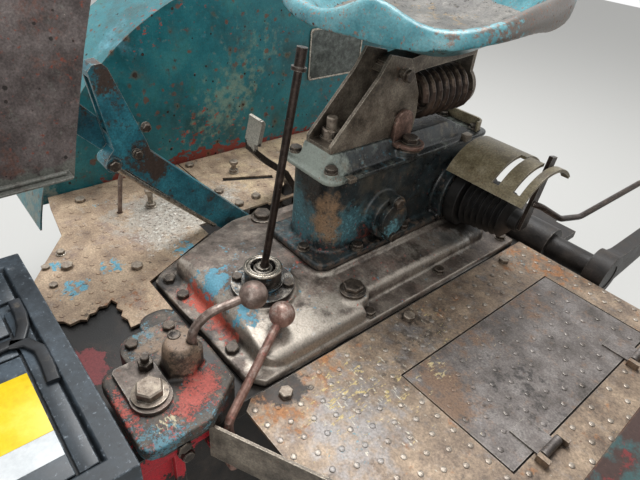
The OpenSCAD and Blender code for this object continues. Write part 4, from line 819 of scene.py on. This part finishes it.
    # Pedal pad: pale worn metal on a dark arm
    FINISH["pale_pad_steel"] = layered(
        "pale worn pad on dark bar", ("#1c1917", "#322b27", "#4d443c"), 20, 0.42, 0.4, (
        coat("#bdb7ab", 0.38, 16, 0.6, 0.68, metal=0.5, near=((-248, 568, 172, 46, 0.5),)),
        coat("#5b5148", 0.6, 6, 0.62, 0.72, amount=0.8),
        worn), 0.9, 0.25, seed=29.0)


# Castings, sheet metal and bars: finished copies of the solids

CASTINGS = (   # node, finish, voxel in mm, rounds of smoothing
    ("gearbox_cover", "worn_cast_iron", 3.4, 4),
    ("lift_housing", "oily_teal_casting", 2.8, 4),
    ("lift_lid", "grey_green_casting", 1.8, 3),
    ("control_box", "coral_over_slate", 2.2, 4),
)
SHEETS = (     # node, finish, rounding of its edges against that of a plain sheet
    ("deck_left", "walked_deck_sheet", 0.8), ("deck_hatch", "dull_hatch_sheet", 0.9),
    ("deck_right_front", "bleached_deck_sheet", 0.8), ("deck_right_rear", "bleached_deck_sheet", 0.8),
    ("deck_apron", "greasy_plate_steel", 0.8), ("cowl_panel", "rust_bloomed_sheet", 1.2),
    ("cowl_bulkhead", "rust_bloomed_sheet", 1.0), ("guard_left", "chalky_teal_enamel", 1.0),
    ("guard_right", "chalky_teal_enamel", 1.0), ("quadrant_guard", "speckled_olive_paint", 1.6),
    ("lid_loop", "speckled_olive_paint", 1.2), ("seat_bracket", "greasy_plate_steel", 1.2),
    ("seat_arm", "greasy_plate_steel", 1.4), ("hand_lever", "rubbed_teal_paint", 1.2),
    ("foot_pedal", "pale_pad_steel", 2.0), ("battery_tray", "dirty_black_paint", 0.8),
    ("deck_frame_left", "dirty_black_paint", 1.0), ("deck_frame_right", "dirty_black_paint", 1.0),
    ("control_plate", "worn_cast_iron", 1.2), ("shift_collar", "oily_collar_steel", 1.4),
    ("lift_side_cap", "oily_teal_casting", 2.2), ("gearbox_housing", "caked_iron", 2.4),
    ("lift_arm_left", "caked_iron", 2.5), ("lift_arm_right", "caked_iron", 2.5),
    ("hand_lever_pivot", "caked_iron", 1.0), ("range_pivot", "caked_iron", 1.0),
    ("side_collar", "matt_rubber", 2.0), ("bellows", "matt_rubber", 1.0),
    ("arm_pin", "rusty_bolt_zinc", 0.8), ("bracket_bolt", "rusty_bolt_zinc", 0.8),
    ("axle_tube_left", "caked_iron", 2.5), ("axle_tube_right", "caked_iron", 2.5),
)
KEPT = (       # solids whose shape is right as it is
    ("gear_lever", "dark_bar_steel"), ("selector_lever", "hand_polished_steel"),
    ("range_lever", "primer_rubbed_steel"), ("seat_spring", "scaled_spring_steel"),
    ("latch_rod", "hand_polished_steel"), ("lift_rod", "dark_bar_steel"), ("lift_shaft", "caked_iron"),
)


class STATION_OT_castings(bpy.types.Operator):
    """Castings with the soft corners and shallow waves that a sand mould gives"""
    bl_idname = "station.castings"
    bl_label = "Castings"

    def execute(self, context):
        for node, finish, voxel, rounds in CASTINGS:
            o = modify(copied(node), "REMESH", mode="VOXEL", voxel_size=voxel * MM, use_smooth_shade=True)
            standing_for(modify(o, "SMOOTH", factor=0.5, iterations=rounds), node, finish)
        return {"FINISHED"}


class STATION_OT_sheets(bpy.types.Operator):
    """Sheet metal, plates and turned pieces with worn edges"""
    bl_idname = "station.sheets"
    bl_label = "Sheets and plates"

    def execute(self, context):
        for node, finish, edge in SHEETS:
            o = smooth(copied(node), 35)
            width = edge * context.scene.station_sizes.sheet_edge
            standing_for(rounded(o, width, 38, harden_normals=True), node, finish)
        for node, finish in KEPT:
            slots = frame["nodes"][node].data.materials
            slots.clear()
            slots.append(FINISH[finish])
        return {"FINISHED"}


# Bolts

CHAMFER = 0.14    # share of a head's height that is worn round at the top


def hex_bolt(across, head, washer=0.0, thick=2.5, nut=0.0, end=0.0):
    """A worn hexagon head on its washer, with a nut and thread end where they show. Sizes in mm."""
    parts = []

    def part(sides, radius, tall, foot, inwards, up):
        o = primitive("cylinder", "part", vertices=sides, radius=radius * MM, depth=tall * MM,
                      location=(0, 0, (foot + tall / 2) * MM))
        parts.append(inset(o, (inwards * MM, up * MM)))
        return o

    z = 0.0
    if washer:
        part(24, washer / 2, thick, 0, 0.08 * washer, 0.25 * thick)
        z = 1.15 * thick
    for size, tall in ((across, head), (nut, 0.8 * nut)):
        if size:
            o = part(6, size / math.sqrt(3), tall * (1 - CHAMFER), z, 0.07 * size, CHAMFER * tall)
            edit(o, edges=edges_along(2))
            bpy.ops.mesh.bevel(offset=0.05 * size * MM, segments=2)
            close(o)
            z += tall
    if end:
        part(16, 0.32 * across, end, z, 0.06 * across, 0.05 * across)
    return smooth(joined("bolt", parts), 32)


BOLT_KINDS = {   # across flats, head, washer, its thickness, nut, thread end, in mm
    "m12": (19, 8, 0, 0, 0, 0),
    "m10": (17, 7, 0, 0, 0, 0),
    "m8": (13, 5.5, 0, 0, 0, 0),
    "m16_plate": (24, 10.5, 46, 4, 0, 0),
    "m16_lug": (27, 11, 46, 9.5, 0, 0),
    "m20_plate": (33, 12, 48, 4, 0, 0),
    "m20_nut": (30, 15, 36, 3, 0, 18),
    "m8_washer": (13, 6, 18, 2, 0, 0),
    "m12_stud": (19, 11, 0, 0, 0, 9),
    "m12_small": (19, 7, 24, 2, 0, 0),
    "plug": (31, 10, 46, 5, 0, 0),
    "drain_plug": (17, 9, 22, 5, 0, 0),
}
OILY, RUSTY = "oily_bolt_steel", "rusty_bolt_zinc"
BOLTS = {        # group: finish, solids they stand on, (kind, x, y) in mm in the deck's frame
    "cover_bolts": (OILY, ("gearbox_cover",), (
        ("m12", 106, 287), ("m12", -45, 285), ("m12", -95, 285), ("m12_small", 170, 518),
        ("m12_small", 164, 712), ("m12_small", 165, 918), ("m12", -164, 712), ("m12", -165, 918),
        ("plug", 134, 508), ("plug", -134, 508))),
    "lift_bolts": (OILY, ("lift_housing",), (
        ("m12_small", 18, 491), ("m12_small", 69, 575), ("m12", 69, 700), ("m12_small", -69, 575),
        ("m12", -69, 700))),
    "lid_bolts": (OILY, ("lift_lid",), (
        ("m12_small", 46, 512), ("m12_small", -46, 512), ("m12_small", 41, 908), ("m12_small", -41, 908),
        ("m16_lug", 53, 690))),
    "collar_bolts": (OILY, ("shift_collar",), (
        ("m10", 79.7, 410.7), ("m10", 20.3, 410.7), ("m10", 20.3, 351.3), ("m10", 79.7, 351.3))),
    "bracket_nut": (RUSTY, ("seat_bracket",), (("m20_nut", -10, 556),)),
    "plate_bolt": (RUSTY, ("control_plate",), (("m20_plate", 141, 143),)),
    "box_bolts": (OILY, ("control_plate", "control_box"), (
        ("m12_stud", 96, 158), ("m10", 38, 162), ("m10", 35, 221))),
    "deck_bolts": (RUSTY, ("deck_left", "deck_right_front", "deck_right_rear"), (
        ("m12", 215, 308), ("m12", 212, 575), ("m12", 213, 863), ("m12", -444, 255), ("m12", -169, 258),
        ("m12", -236, 158), ("m12", -458, 470), ("m8_washer", -281, 162), ("m8", -254, 127),
        ("m8", -198, 123), ("m12", -469, 526), ("m12", -324, 521), ("m12", -261, 580), ("m12", -254, 531))),
}
SIDE_BOLTS = {   # group: body, (kind, x, y, z, side) for heads that look to the left (1) or right (-1)
    "side_bolts": ("station", (
        ("m10", 95, 636, 151, 1), ("m10", 95, 636, 79, 1), ("m16_plate", -39, 676, 254, -1),
        ("m12_small", 41, 664, 356, 1), ("m12_small", -41, 664, 356, -1), ("m12_small", 222, 218, -62, 1),
        ("m10", 202, 154, 1, 1), ("drain_plug", 186, 161, -36, 1))),
    "lever_bolts": ("hand_lever", (
        ("m8_washer", -191, 294, 209, 1), ("m10", -192, 254, 197, 1), ("m8_washer", -198, 316, 249, 1))),
}
STANDING = ((-348, 369, 38), (-388, 601, 27))   # long bolts loose in the right deck: x, y, length above it
ANY_TURN = 1.05                                 # a sixth of a turn, in radians


def put_bolt(patterns, kind, place, turn, side=0):
    """One copy of a modelled bolt, with its own mesh, at its place and turn."""
    o = linked(patterns[kind].copy())
    o.data = patterns[kind].data.copy()
    flip = Matrix.Rotation(math.radians(90 * side), 4, "Y")
    o.matrix_world = Matrix.Translation(place) @ flip @ Matrix.Rotation(turn, 4, "Z")
    return o


class STATION_OT_bolts(bpy.types.Operator):
    """Hexagon heads, nuts and washers, each kind modelled once"""
    bl_idname = "station.bolts"
    bl_label = "Bolts"

    def execute(self, context):
        dice = random.Random(7)
        patterns = {k: hex_bolt(*v) for k, v in BOLT_KINDS.items()}
        for group, (finish, stands_on, table) in BOLTS.items():
            tree = surfaces(*stands_on)
            made = []
            for kind, x, y in table:
                z = height(tree, x, y, max(9.0, BOLT_KINDS[kind][2] / 2 - 3))
                made.append(put_bolt(patterns, kind, deck(x, y, z - 0.2), dice.uniform(0, ANY_TURN)))
            fitted(joined(group, made), "station", finish)
        for group, (body, table) in SIDE_BOLTS.items():
            made = [put_bolt(patterns, kind, deck(x, y, z), dice.uniform(0, ANY_TURN), side)
                    for kind, x, y, z, side in table]
            fitted(joined(group, made), body, OILY)
        stems = []
        for x, y, tall in STANDING:
            o = primitive("cylinder", "stem", vertices=16, radius=5.6 * MM, depth=tall * MM,
                          location=deck(x, y, tall / 2 - 2))
            stems += [inset(o, (0.0008, 0.0008)), put_bolt(patterns, "m12", deck(x, y, tall - 4), 0.3),
                      put_bolt(patterns, "m12_small", deck(x, y, 0), 0.8)]
        fitted(joined("standing_bolts", stems), "station", RUSTY)
        for o in patterns.values():
            bpy.data.objects.remove(o)
        return {"FINISHED"}


# Nubs of the deck plates

NUB_FIELDS = (   # name, plates, finish, slot, x and y of the first nub in mm, columns, rows, cupped tops
    ("nubs_left", ("deck_left",), "polished_nub_steel", "deck_bare", 197.6, 228.7, 14, 34, False),
    ("nubs_hatch", ("deck_hatch",), "dull_hatch_sheet", "deck_bare", 299.1, 228.7, 8, 26, False),
    ("nubs_right", ("deck_right_front", "deck_right_rear"), "bleached_deck_sheet", "deck_worn",
     -495.0, 110.0, 17, 40, True),
)
NUB_ROW = 28.7           # mm from row to row
NUB_CLEAR = 7.5          # mm of plate that a nub needs round its middle
BOLT_CLEAR = 18          # mm from a bolt's middle
EIGHTH = 0.785           # an eighth of a turn, in radians
MISSING = 0.04           # share of nubs worn away
LEVEL = 0.5              # mm that the plate under a nub may lie off the deck's height
LATCH_HOLE = (-359, 305)    # the latch rod comes up here


class STATION_OT_nubs(bpy.types.Operator):
    """Rows of pressed nubs on the deck plates, each row set over by half a pitch"""
    bl_idname = "station.nubs"
    bl_label = "Deck nubs"

    def execute(self, context):
        sizes = context.scene.station_sizes
        width, tall, pitch = sizes.nub_width, sizes.nub_height, sizes.nub_pitch / MM
        bolts = [b[1:] for b in BOLTS["deck_bolts"][2]] + [b[:2] for b in STANDING] + [LATCH_HOLE]
        dice = random.Random(3)
        for name, nodes, finish, slot, x0, y0, columns, rows, cupped in NUB_FIELDS:
            tree = surfaces(*nodes)
            o = primitive("cylinder", name, vertices=12, radius=width / 2, depth=tall * 0.6,
                          location=deck(x0, y0, tall * 0.3 / MM - 0.1))
            inset(o, (width * 0.14, tall * 0.3), (width * 0.16, tall * (-0.5 if cupped else 0.12)))
            edit(o, faces=faces_down)
            bpy.ops.mesh.delete(type="FACE")
            placed(close(o))
            repeated(o, 2, (pitch / 2 * MM, NUB_ROW * MM, 0))
            repeated(o, columns, (pitch * MM, 0, 0))
            repeated(o, (rows + 1) // 2, (0, 2 * NUB_ROW * MM, 0))
            keep = {}

            def off_the_plate(f):
                c = f.calc_center_median()
                j = round((c.y / MM - DECK_Y - y0) / NUB_ROW)
                over = pitch / 2 if j % 2 else 0
                i = round((c.x / MM - x0 - over) / pitch)
                if (i, j) not in keep:
                    x, y = x0 + i * pitch + over, y0 + j * NUB_ROW
                    good = all(math.dist((x, y), b) > BOLT_CLEAR for b in bolts) and dice.random() > MISSING
                    for k in range(9):    # eight places round the nub, and its middle
                        r = 0 if k == 8 else NUB_CLEAR
                        z = drop(tree, x + r * math.cos(k * EIGHTH), y + r * math.sin(k * EIGHTH), 60)
                        good = good and z is not None and abs(z) < LEVEL
                    keep[i, j] = good
                return not keep[i, j]
            edit(o, faces=off_the_plate)
            bpy.ops.mesh.delete(type="FACE")
            fitted(smooth(close(o), 60), BODY[nodes[0]], finish)
        return {"FINISHED"}


# Seat

class STATION_OT_pan(bpy.types.Operator):
    """Pressed pan seat with a smooth rolled rim"""
    bl_idname = "station.pan"
    bl_label = "Pan seat"

    def execute(self, context):
        o = modify(copied("seat_pan", "pan_seat"), "SUBSURF", levels=1, render_levels=1, uv_smooth="NONE")
        standing_for(smooth(o, 60), "seat_pan", "worn_seat_enamel")
        return {"FINISHED"}


PAD_VOXEL = 0.0045            # metres
PAD_PRESSURE = 4
PAD_FRAMES = 20
HOLLOW_DEPTH, HOLLOW_WIDTH = 0.003, 0.09    # the hollow pressed into the pad, in metres


class STATION_OT_pad(bpy.types.Operator):
    """Thin seat pad, swollen by a cloth simulation and pressed flat in the middle"""
    bl_idname = "station.pad"
    bl_label = "Seat pad"

    def execute(self, context):
        most = context.scene.station_sizes.pad_swell
        o = copied("seat_cushion", "seat_pad")
        modify(o, "REMESH", mode="VOXEL", voxel_size=PAD_VOXEL, use_smooth_shade=True)
        rest = [v.co.copy() for v in o.data.vertices]
        cloth = o.modifiers.new("cloth", "CLOTH")
        cloth.settings.use_pressure = True
        cloth.settings.uniform_pressure_force = PAD_PRESSURE
        cloth.settings.effector_weights.gravity = 0
        for f in range(1, PAD_FRAMES + 1):
            context.scene.frame_set(f)
        only(o)
        bpy.ops.object.modifier_apply(modifier=cloth.name)
        context.scene.frame_set(1)
        middle = sum(rest, Vector()) / len(rest)
        for v, r in zip(o.data.vertices, rest):
            move = v.co - r
            if move.length > most:
                move = move.normalized() * most
            # it swells upwards only, so that it stays in the pan and inside the rim
            v.co = r + Vector((0, 0, max(0.0, move.z)))
            away = (r - middle).xy.length
            if move.z > 0:
                v.co.z -= HOLLOW_DEPTH * math.exp(-(away / HOLLOW_WIDTH) ** 2)
        modify(o, "SUBSURF", levels=1, render_levels=1)
        standing_for(smooth(o, 80), "seat_cushion", "cracked_leathercloth")
        return {"FINISHED"}


# Battery

def slab(name, low, high, edge, slot, finish):
    """A flat moulded slab between two corners in the deck's frame, with rounded edges."""
    a, b = deck(*low), deck(*high)
    o = block(name, (a + b) / 2, b - a)
    edit(o, faces=everywhere)
    bpy.ops.mesh.bevel(offset=edge * MM, segments=2, affect="EDGES")
    return fitted(smooth(close(o), 50), "station", finish)


def rod(name, points, thick, body, finish, flat=0.0):
    """A round rod, or a strap lying flat, along points in the deck's frame, with closed, rounded ends."""
    curve = bpy.data.curves.new(name, "CURVE")
    curve.dimensions = "3D"
    curve.bevel_depth = thick / 2 * MM
    curve.bevel_resolution = 4
    curve.extrude = flat / 2 * MM
    curve.twist_mode = "Z_UP"
    curve.use_fill_caps = True
    s = curve.splines.new("POLY")
    s.points.add(len(points) - 1)
    for p, q in zip(s.points, points):
        p.co = (*deck(*q), 1)
        p.tilt = math.radians(90) if flat else 0.0
    only(linked(bpy.data.objects.new(name, curve)))
    bpy.ops.object.convert(target="MESH")
    return fitted(smooth(rounded(bpy.context.object, thick * 0.16 * MM), 50), body, finish)


BATTERY_PANELS = (   # x0, y0, x1, y1, height in mm: raised on the lid's lower middle, with grooves between
    (62, 26.5, 292, 43.5, 4.6), (-14, 26.5, 44, 43.5, 4.6), (134, -84, 291, 24, 4.4), (30, -84, 96, 24, 3.6),
    (-14, -84, 24, 24, 4.4), (100, -46, 130, 24, 3.0))
LABELS = (("white_label", 239.3, 268), ("yellow_label", 160, 239))    # name, x0, x1
HANDLE = (           # x, y: the grip with one leg, and the other leg
    ((50, 41), (76, 41), (96, 38), (114, 30), (116, 8), (116, -40), (116, -84)),
    ((187, 40), (160, 42), (138, 42), (122, 34), (116, 20)))
POSTS = ((14, -60), (296, -60))


class STATION_OT_battery(bpy.types.Operator):
    """Battery with its stepped lid, carrying handle, posts and two blank labels"""
    bl_idname = "station.battery"
    bl_label = "Battery"

    def execute(self, context):
        o = smooth(copied("battery", "battery_case"), 35)
        # the lid: a wide border stands up round a lower middle
        top = max(v.co.z for v in o.data.vertices)
        inset(o, (0.021, 0), (0.003, -0.006),
              faces=lambda f: faces_up(f) and f.calc_center_median().z > top - 0.001)
        standing_for(rounded(o, 0.0016, 30, 3, harden_normals=True), "battery", "battery_polypropylene")
        z = top / MM - DECK_Z - 6
        for i, (x0, y0, x1, y1, h) in enumerate(BATTERY_PANELS):
            slab(f"battery_panel_{i + 1}", (x0, y0, z - 1), (x1, y1, z + h), 1.2, "battery_case",
                 "battery_polypropylene")
        for name, x0, x1 in LABELS:
            slab(name, (x0, -30, z + 4.2), (x1, 23, z + 4.8), 0.15, "battery_case", name)
        for i, path in enumerate(HANDLE):
            rod(f"battery_handle_{i + 1}", [(x, y, z + 7.0) for x, y in path], 4.5, "station",
                "black_moulding", flat=8.5)
        for i, (x, y) in enumerate(POSTS):
            p = primitive("cylinder", f"battery_post_{i + 1}", vertices=24, radius=0.009, depth=0.016,
                          location=deck(x, y, z + 8))
            fitted(smooth(inset(p, (0.0015, 0.001)), 40), "station", RUSTY)
        return {"FINISHED"}


# Trim

TURNED = (       # name, body, finish, x, y, the solid below, foot against its top, radius, depth, steps, hole
    # rolled ring on the collar's mouth, and the dust cap that tilts with the lever
    ("collar_ring", "station", "polished_ring_steel", 50, 381, "shift_collar", -0.2, 31.0, 2.2,
     ((1.6, 1.6), (2.2, 0.3), (1.6, -1.4), (2.4, -0.6), (1.0, 1.0), (1.6, 0.2), (0.6, -3.0)), True),
    ("lever_dust_cap", "gear_lever", "polished_ring_steel", 50, 381, "shift_collar", -4.0, 16.0, 2.5,
     ((0.8, 1.2), (1.2, 0.4), (0.8, -0.9), (1.6, 0.8), (0.4, 3.6), (0.6, 0.8), (0.8, 0.2), (0.4, -1.0)),
     False),
    ("turret_plug", "station", OILY, 101, 200, "control_box", -0.4, 9.0, 1.6,
     ((0.6, 0.6), (1.2, 0.0), (0.5, -0.9), (1.4, 0.5)), False),
)
TABS = (((58, 838, 210), (72, 856, 224)), ((56, 534, 206), (70, 550, 214)))    # on the lid
PLATE_CORNERS = ((905, 147), (1098, 283))          # of the blank plate: y, z
PEDAL_SLOT, PEDAL_TURN = (-367, 558), 66           # where the slot starts, and its direction in degrees


def turned(name, body, finish, x, y, below, foot, radius, depth, steps, hole):
    """A disc whose top steps inwards and up or down in turn, in mm."""
    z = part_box(below)[1].z / MM - DECK_Z + foot
    o = primitive("cylinder", name, vertices=40, radius=radius * MM, depth=depth * MM,
                  location=deck(x, y, z + depth / 2))
    inset(o, *((inwards * MM, up * MM) for inwards, up in steps))
    if hole:
        bpy.ops.object.mode_set(mode="EDIT")
        bpy.ops.mesh.delete(type="FACE")
        edit(o, faces=faces_down)
        bpy.ops.mesh.inset(thickness=sum(s[0] for s in steps) * MM, depth=0)
        bridged(o)
    return fitted(smooth(rounded(placed(o), 0.0003, 40), 45), body, finish)


class STATION_OT_trim(bpy.types.Operator):
    """Blank plate, rods, tabs, turned rings, the lid's lug, slot strip and a dark sheet under the lever's
    slot that paints the shade there
    """
    bl_idname = "station.trim"
    bl_label = "Trim"

    def execute(self, context):
        # blank plate with round corners, its raised pale border and four rivets
        low, high = (Vector((v.x, *deck(0, *corner).yz))
                     for v, corner in zip(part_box("data_plate"), PLATE_CORNERS))
        for name, finish, proud in (("plate_field", "stained_aluminium", 0.0),
                                    ("plate_border", "bright_rod", 0.0012)):
            o = block(name, (low + high) / 2 + Vector((proud, 0, 0)), high - low)
            edit(o, edges=edges_along(0))
            bpy.ops.mesh.bevel(offset=0.009, segments=4)
            close(o)
            if proud:
                edit(o, faces=lambda f: abs(f.normal.x) > ALIGNED)
                bpy.ops.mesh.inset(thickness=0.005, depth=0)
                bridged(o)
            fitted(smooth(rounded(o, 0.0003, 40), 40), "station", finish)
            if not proud:
                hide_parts("data_plate")
        rivets = []
        for y in (low.y + 0.008, high.y - 0.008):
            for z in (low.z + 0.008, high.z - 0.008):
                r = primitive("uv_sphere", "rivet", segments=14, ring_count=8, radius=0.0032,
                              location=(high.x - 0.0002, y, z))
                r.scale = (0.6, 1, 1)
                edit(placed(r), faces=everywhere)
                bpy.ops.mesh.bisect(plane_co=(high.x - 0.0003, y, z), plane_no=(1, 0, 0), clear_inner=True,
                                    use_fill=True)
                rivets.append(close(r))
        fitted(smooth(joined("plate_rivets", rivets), 60), "station", RUSTY)
        rod("lever_rod", ((-199, 262, 186), (-199, 300, 146), (-199, 436, 12)), 11,
            "hand_lever", "bright_rod")
        for i, corners in enumerate(TABS):
            slab(f"lid_tab_{i + 1}", *corners, 0.8, "bracket_steel", "greasy_plate_steel")
        # brown lug under the lid's large bolt: an ear against the seat bracket, bent from a round foot
        ear = block("ear", deck(36, 682, 262), (0.009, 0.044, 0.062))
        edit(ear, edges=lambda e: min(v.co.z for v in e.verts) > deck(0, 0, 290).z and edges_along(0)(e))
        bpy.ops.mesh.bevel(offset=0.021, segments=8)
        close(ear)
        foot = primitive("cylinder", "foot", vertices=32, radius=0.026, depth=0.007,
                         location=deck(53, 690, 234.8))
        inset(foot, (0.003, 0), faces=lambda f: abs(f.normal.z) > ALIGNED)
        web = block("web", deck(43, 682, 235), (0.020, 0.046, 0.0072))
        fitted(smooth(rounded(joined("lid_lug", [ear, foot, web]), 0.0014), 50), "station",
               "brown_lug_steel")
        for piece in TURNED:
            turned(*piece)
        # rubber strip that closes the pedal's slot in the right deck from below
        x, y, turn = PEDAL_SLOT[0], PEDAL_SLOT[1], math.radians(PEDAL_TURN)
        c, s = math.cos(turn), math.sin(turn)
        strip = block("pedal_slot_strip", deck(x + 60 * c - 3 * s, y + 60 * s + 3 * c, -6.6),
                      (0.136, 0.030, 0.003), turn)
        fitted(smooth(rounded(strip, 0.0008), 40), "station", "matt_rubber")
        # painted shade: a dark sheet on the housing's side, under the hand lever's slot, that stands for the
        # shade seen through the slot, with its edge folded up
        o = block("slot_shade_sheet", deck(-279.5, 505, -113), (0.231, 0.190, 0.002))
        fold = deck(-167, 0, 0)
        edit(o, faces=everywhere)
        bpy.ops.mesh.bisect(plane_co=fold, plane_no=(1, 0, 0))
        edit(o, faces=lambda f: faces_up(f) and f.calc_center_median().x > fold.x)
        bpy.ops.mesh.extrude_region_move(TRANSFORM_OT_translate={"value": (0, 0, 0.022)})
        fitted(smooth(rounded(close(o), 0.0005), 40), "station", "dirty_black_paint")
        # folded lip at the lower edge of the cowl
        rod("cowl_lip", ((-182, -120, 204.5), (-182, 60, 207.5), (-182, 178, 210)), 6,
            "station", "rust_bloomed_sheet")
        return {"FINISHED"}


class STATION_OT_finishes(bpy.types.Operator):
    """Builds the finishes from the colours"""
    bl_idname = "station.finishes"
    bl_label = "Finishes"

    def execute(self, context):
        build_finishes(context.scene.station_colours)
        return {"FINISHED"}


# Stage

AZIMUTH, ELEVATION, ROLL = 46.67, 35.15, 5.88    # how the camera looks, in degrees
CAMERA_PLACE = (0.5795, 0.150, 0.803)            # metres
LENS = 29.076                                    # mm, for a frame 36 mm wide
SKY_LIGHT = 0.56                                 # what lights the object; the camera and gloss see white
LAMPS = (        # name, place, width, watts, aim
    ("sky lamp", (-0.9, 1.5, 3.0), 1.5, 86, (0, 0.5, 0.2)),
    ("front lamp", (2.2, -1.6, 2.2), 1.6, 28, (0, 0.6, 0.3)),
)


class STATION_OT_stage(bpy.types.Operator):
    """Pale floor, soft lamps and the camera"""
    bl_idname = "station.stage"
    bl_label = "Stage"

    def execute(self, context):
        scene = context.scene
        scene.view_settings.view_transform = "Standard"
        az, el, roll = (math.radians(v) for v in (AZIMUTH, ELEVATION, ROLL))
        ahead = Vector((-math.sin(az) * math.cos(el), math.cos(az) * math.cos(el), -math.sin(el)))
        right = ahead.cross(Vector((0, 0, 1))).normalized()
        up = right.cross(ahead)
        c, s = math.cos(roll), math.sin(roll)
        right, up = c * right + s * up, -s * right + c * up
        cam = linked(bpy.data.objects.new("camera", bpy.data.cameras.new("camera")))
        cam.data.lens = LENS
        cam.data.sensor_width = 36
        cam.data.clip_start = 0.02
        axes = Matrix((right, up, -ahead)).transposed()
        cam.matrix_world = Matrix.Translation(CAMERA_PLACE) @ axes.to_4x4()
        scene.camera = cam
        world = bpy.data.worlds.new("studio")
        world.use_nodes = True
        t = world.node_tree
        lit = t.nodes["Background"]
        lit.inputs["Strength"].default_value = SKY_LIGHT
        lit.inputs["Color"].default_value = (1, 1, 1, 1)
        ray = add(t, "ShaderNodeLightPath")
        seen = ray.outputs["Is Camera Ray"]
        for kind in ("Is Glossy Ray", "Is Transmission Ray"):
            either = add(t, "ShaderNodeMath", {0: seen, 1: ray.outputs[kind]}, operation="MAXIMUM")
            seen = either.outputs["Value"]
        white = add(t, "ShaderNodeBackground", values={"Color": (1, 1, 1, 1), "Strength": 1.0})
        both = add(t, "ShaderNodeMixShader", {0: seen, 1: lit.outputs[0], 2: white.outputs[0]})
        t.links.new(both.outputs[0], t.nodes["World Output"].inputs["Surface"])
        scene.world = world
        for name, place, size, power, aim in LAMPS:
            lamp = linked(bpy.data.objects.new(name, bpy.data.lights.new(name, "AREA")))
            lamp.data.energy = power
            lamp.data.size = size
            lamp.location = place
            lamp.rotation_euler = (Vector(aim) - Vector(place)).to_track_quat("-Z", "Y").to_euler()
        floor = primitive("plane", "floor", size=14, location=(0, 0.6, CAD_BOX[0][2] - 0.0005))
        pale = bpy.data.materials.new("pale floor")
        pale.use_nodes = True
        shader = pale.node_tree.nodes["Principled BSDF"]
        shader.inputs["Base Color"].default_value = linear("#d3d3d0")
        shader.inputs["Roughness"].default_value = 0.9
        floor.data.materials.append(pale)
        return {"FINISHED"}


STEPS = (STATION_OT_stage, STATION_OT_finishes, STATION_OT_castings, STATION_OT_sheets, STATION_OT_pan,
         STATION_OT_pad, STATION_OT_battery, STATION_OT_bolts, STATION_OT_nubs, STATION_OT_trim)


class STATION_PT_panel(bpy.types.Panel):
    bl_idname = "STATION_PT_panel"
    bl_label = "Driver's station"
    bl_space_type = "VIEW_3D"
    bl_region_type = "UI"
    bl_category = "Station"

    def draw(self, context):
        for group in (context.scene.station_sizes, context.scene.station_colours):
            for key in group.__annotations__:
                self.layout.prop(group, key)
        for step in STEPS:
            self.layout.operator(step.bl_idname)


CLASSES = (StationSizes, StationColours, *STEPS, STATION_PT_panel)


def register():
    for c in CLASSES:
        bpy.utils.register_class(c)
    bpy.types.Scene.station_sizes = PointerProperty(type=StationSizes)
    bpy.types.Scene.station_colours = PointerProperty(type=StationColours)


def unregister():
    del bpy.types.Scene.station_sizes
    del bpy.types.Scene.station_colours
    for c in reversed(CLASSES):
        bpy.utils.unregister_class(c)


def main():
    register()
    for step in STEPS:
        group, name = step.bl_idname.split(".")
        getattr(getattr(bpy.ops, group), name)()


if __name__ == "__main__":
    main()
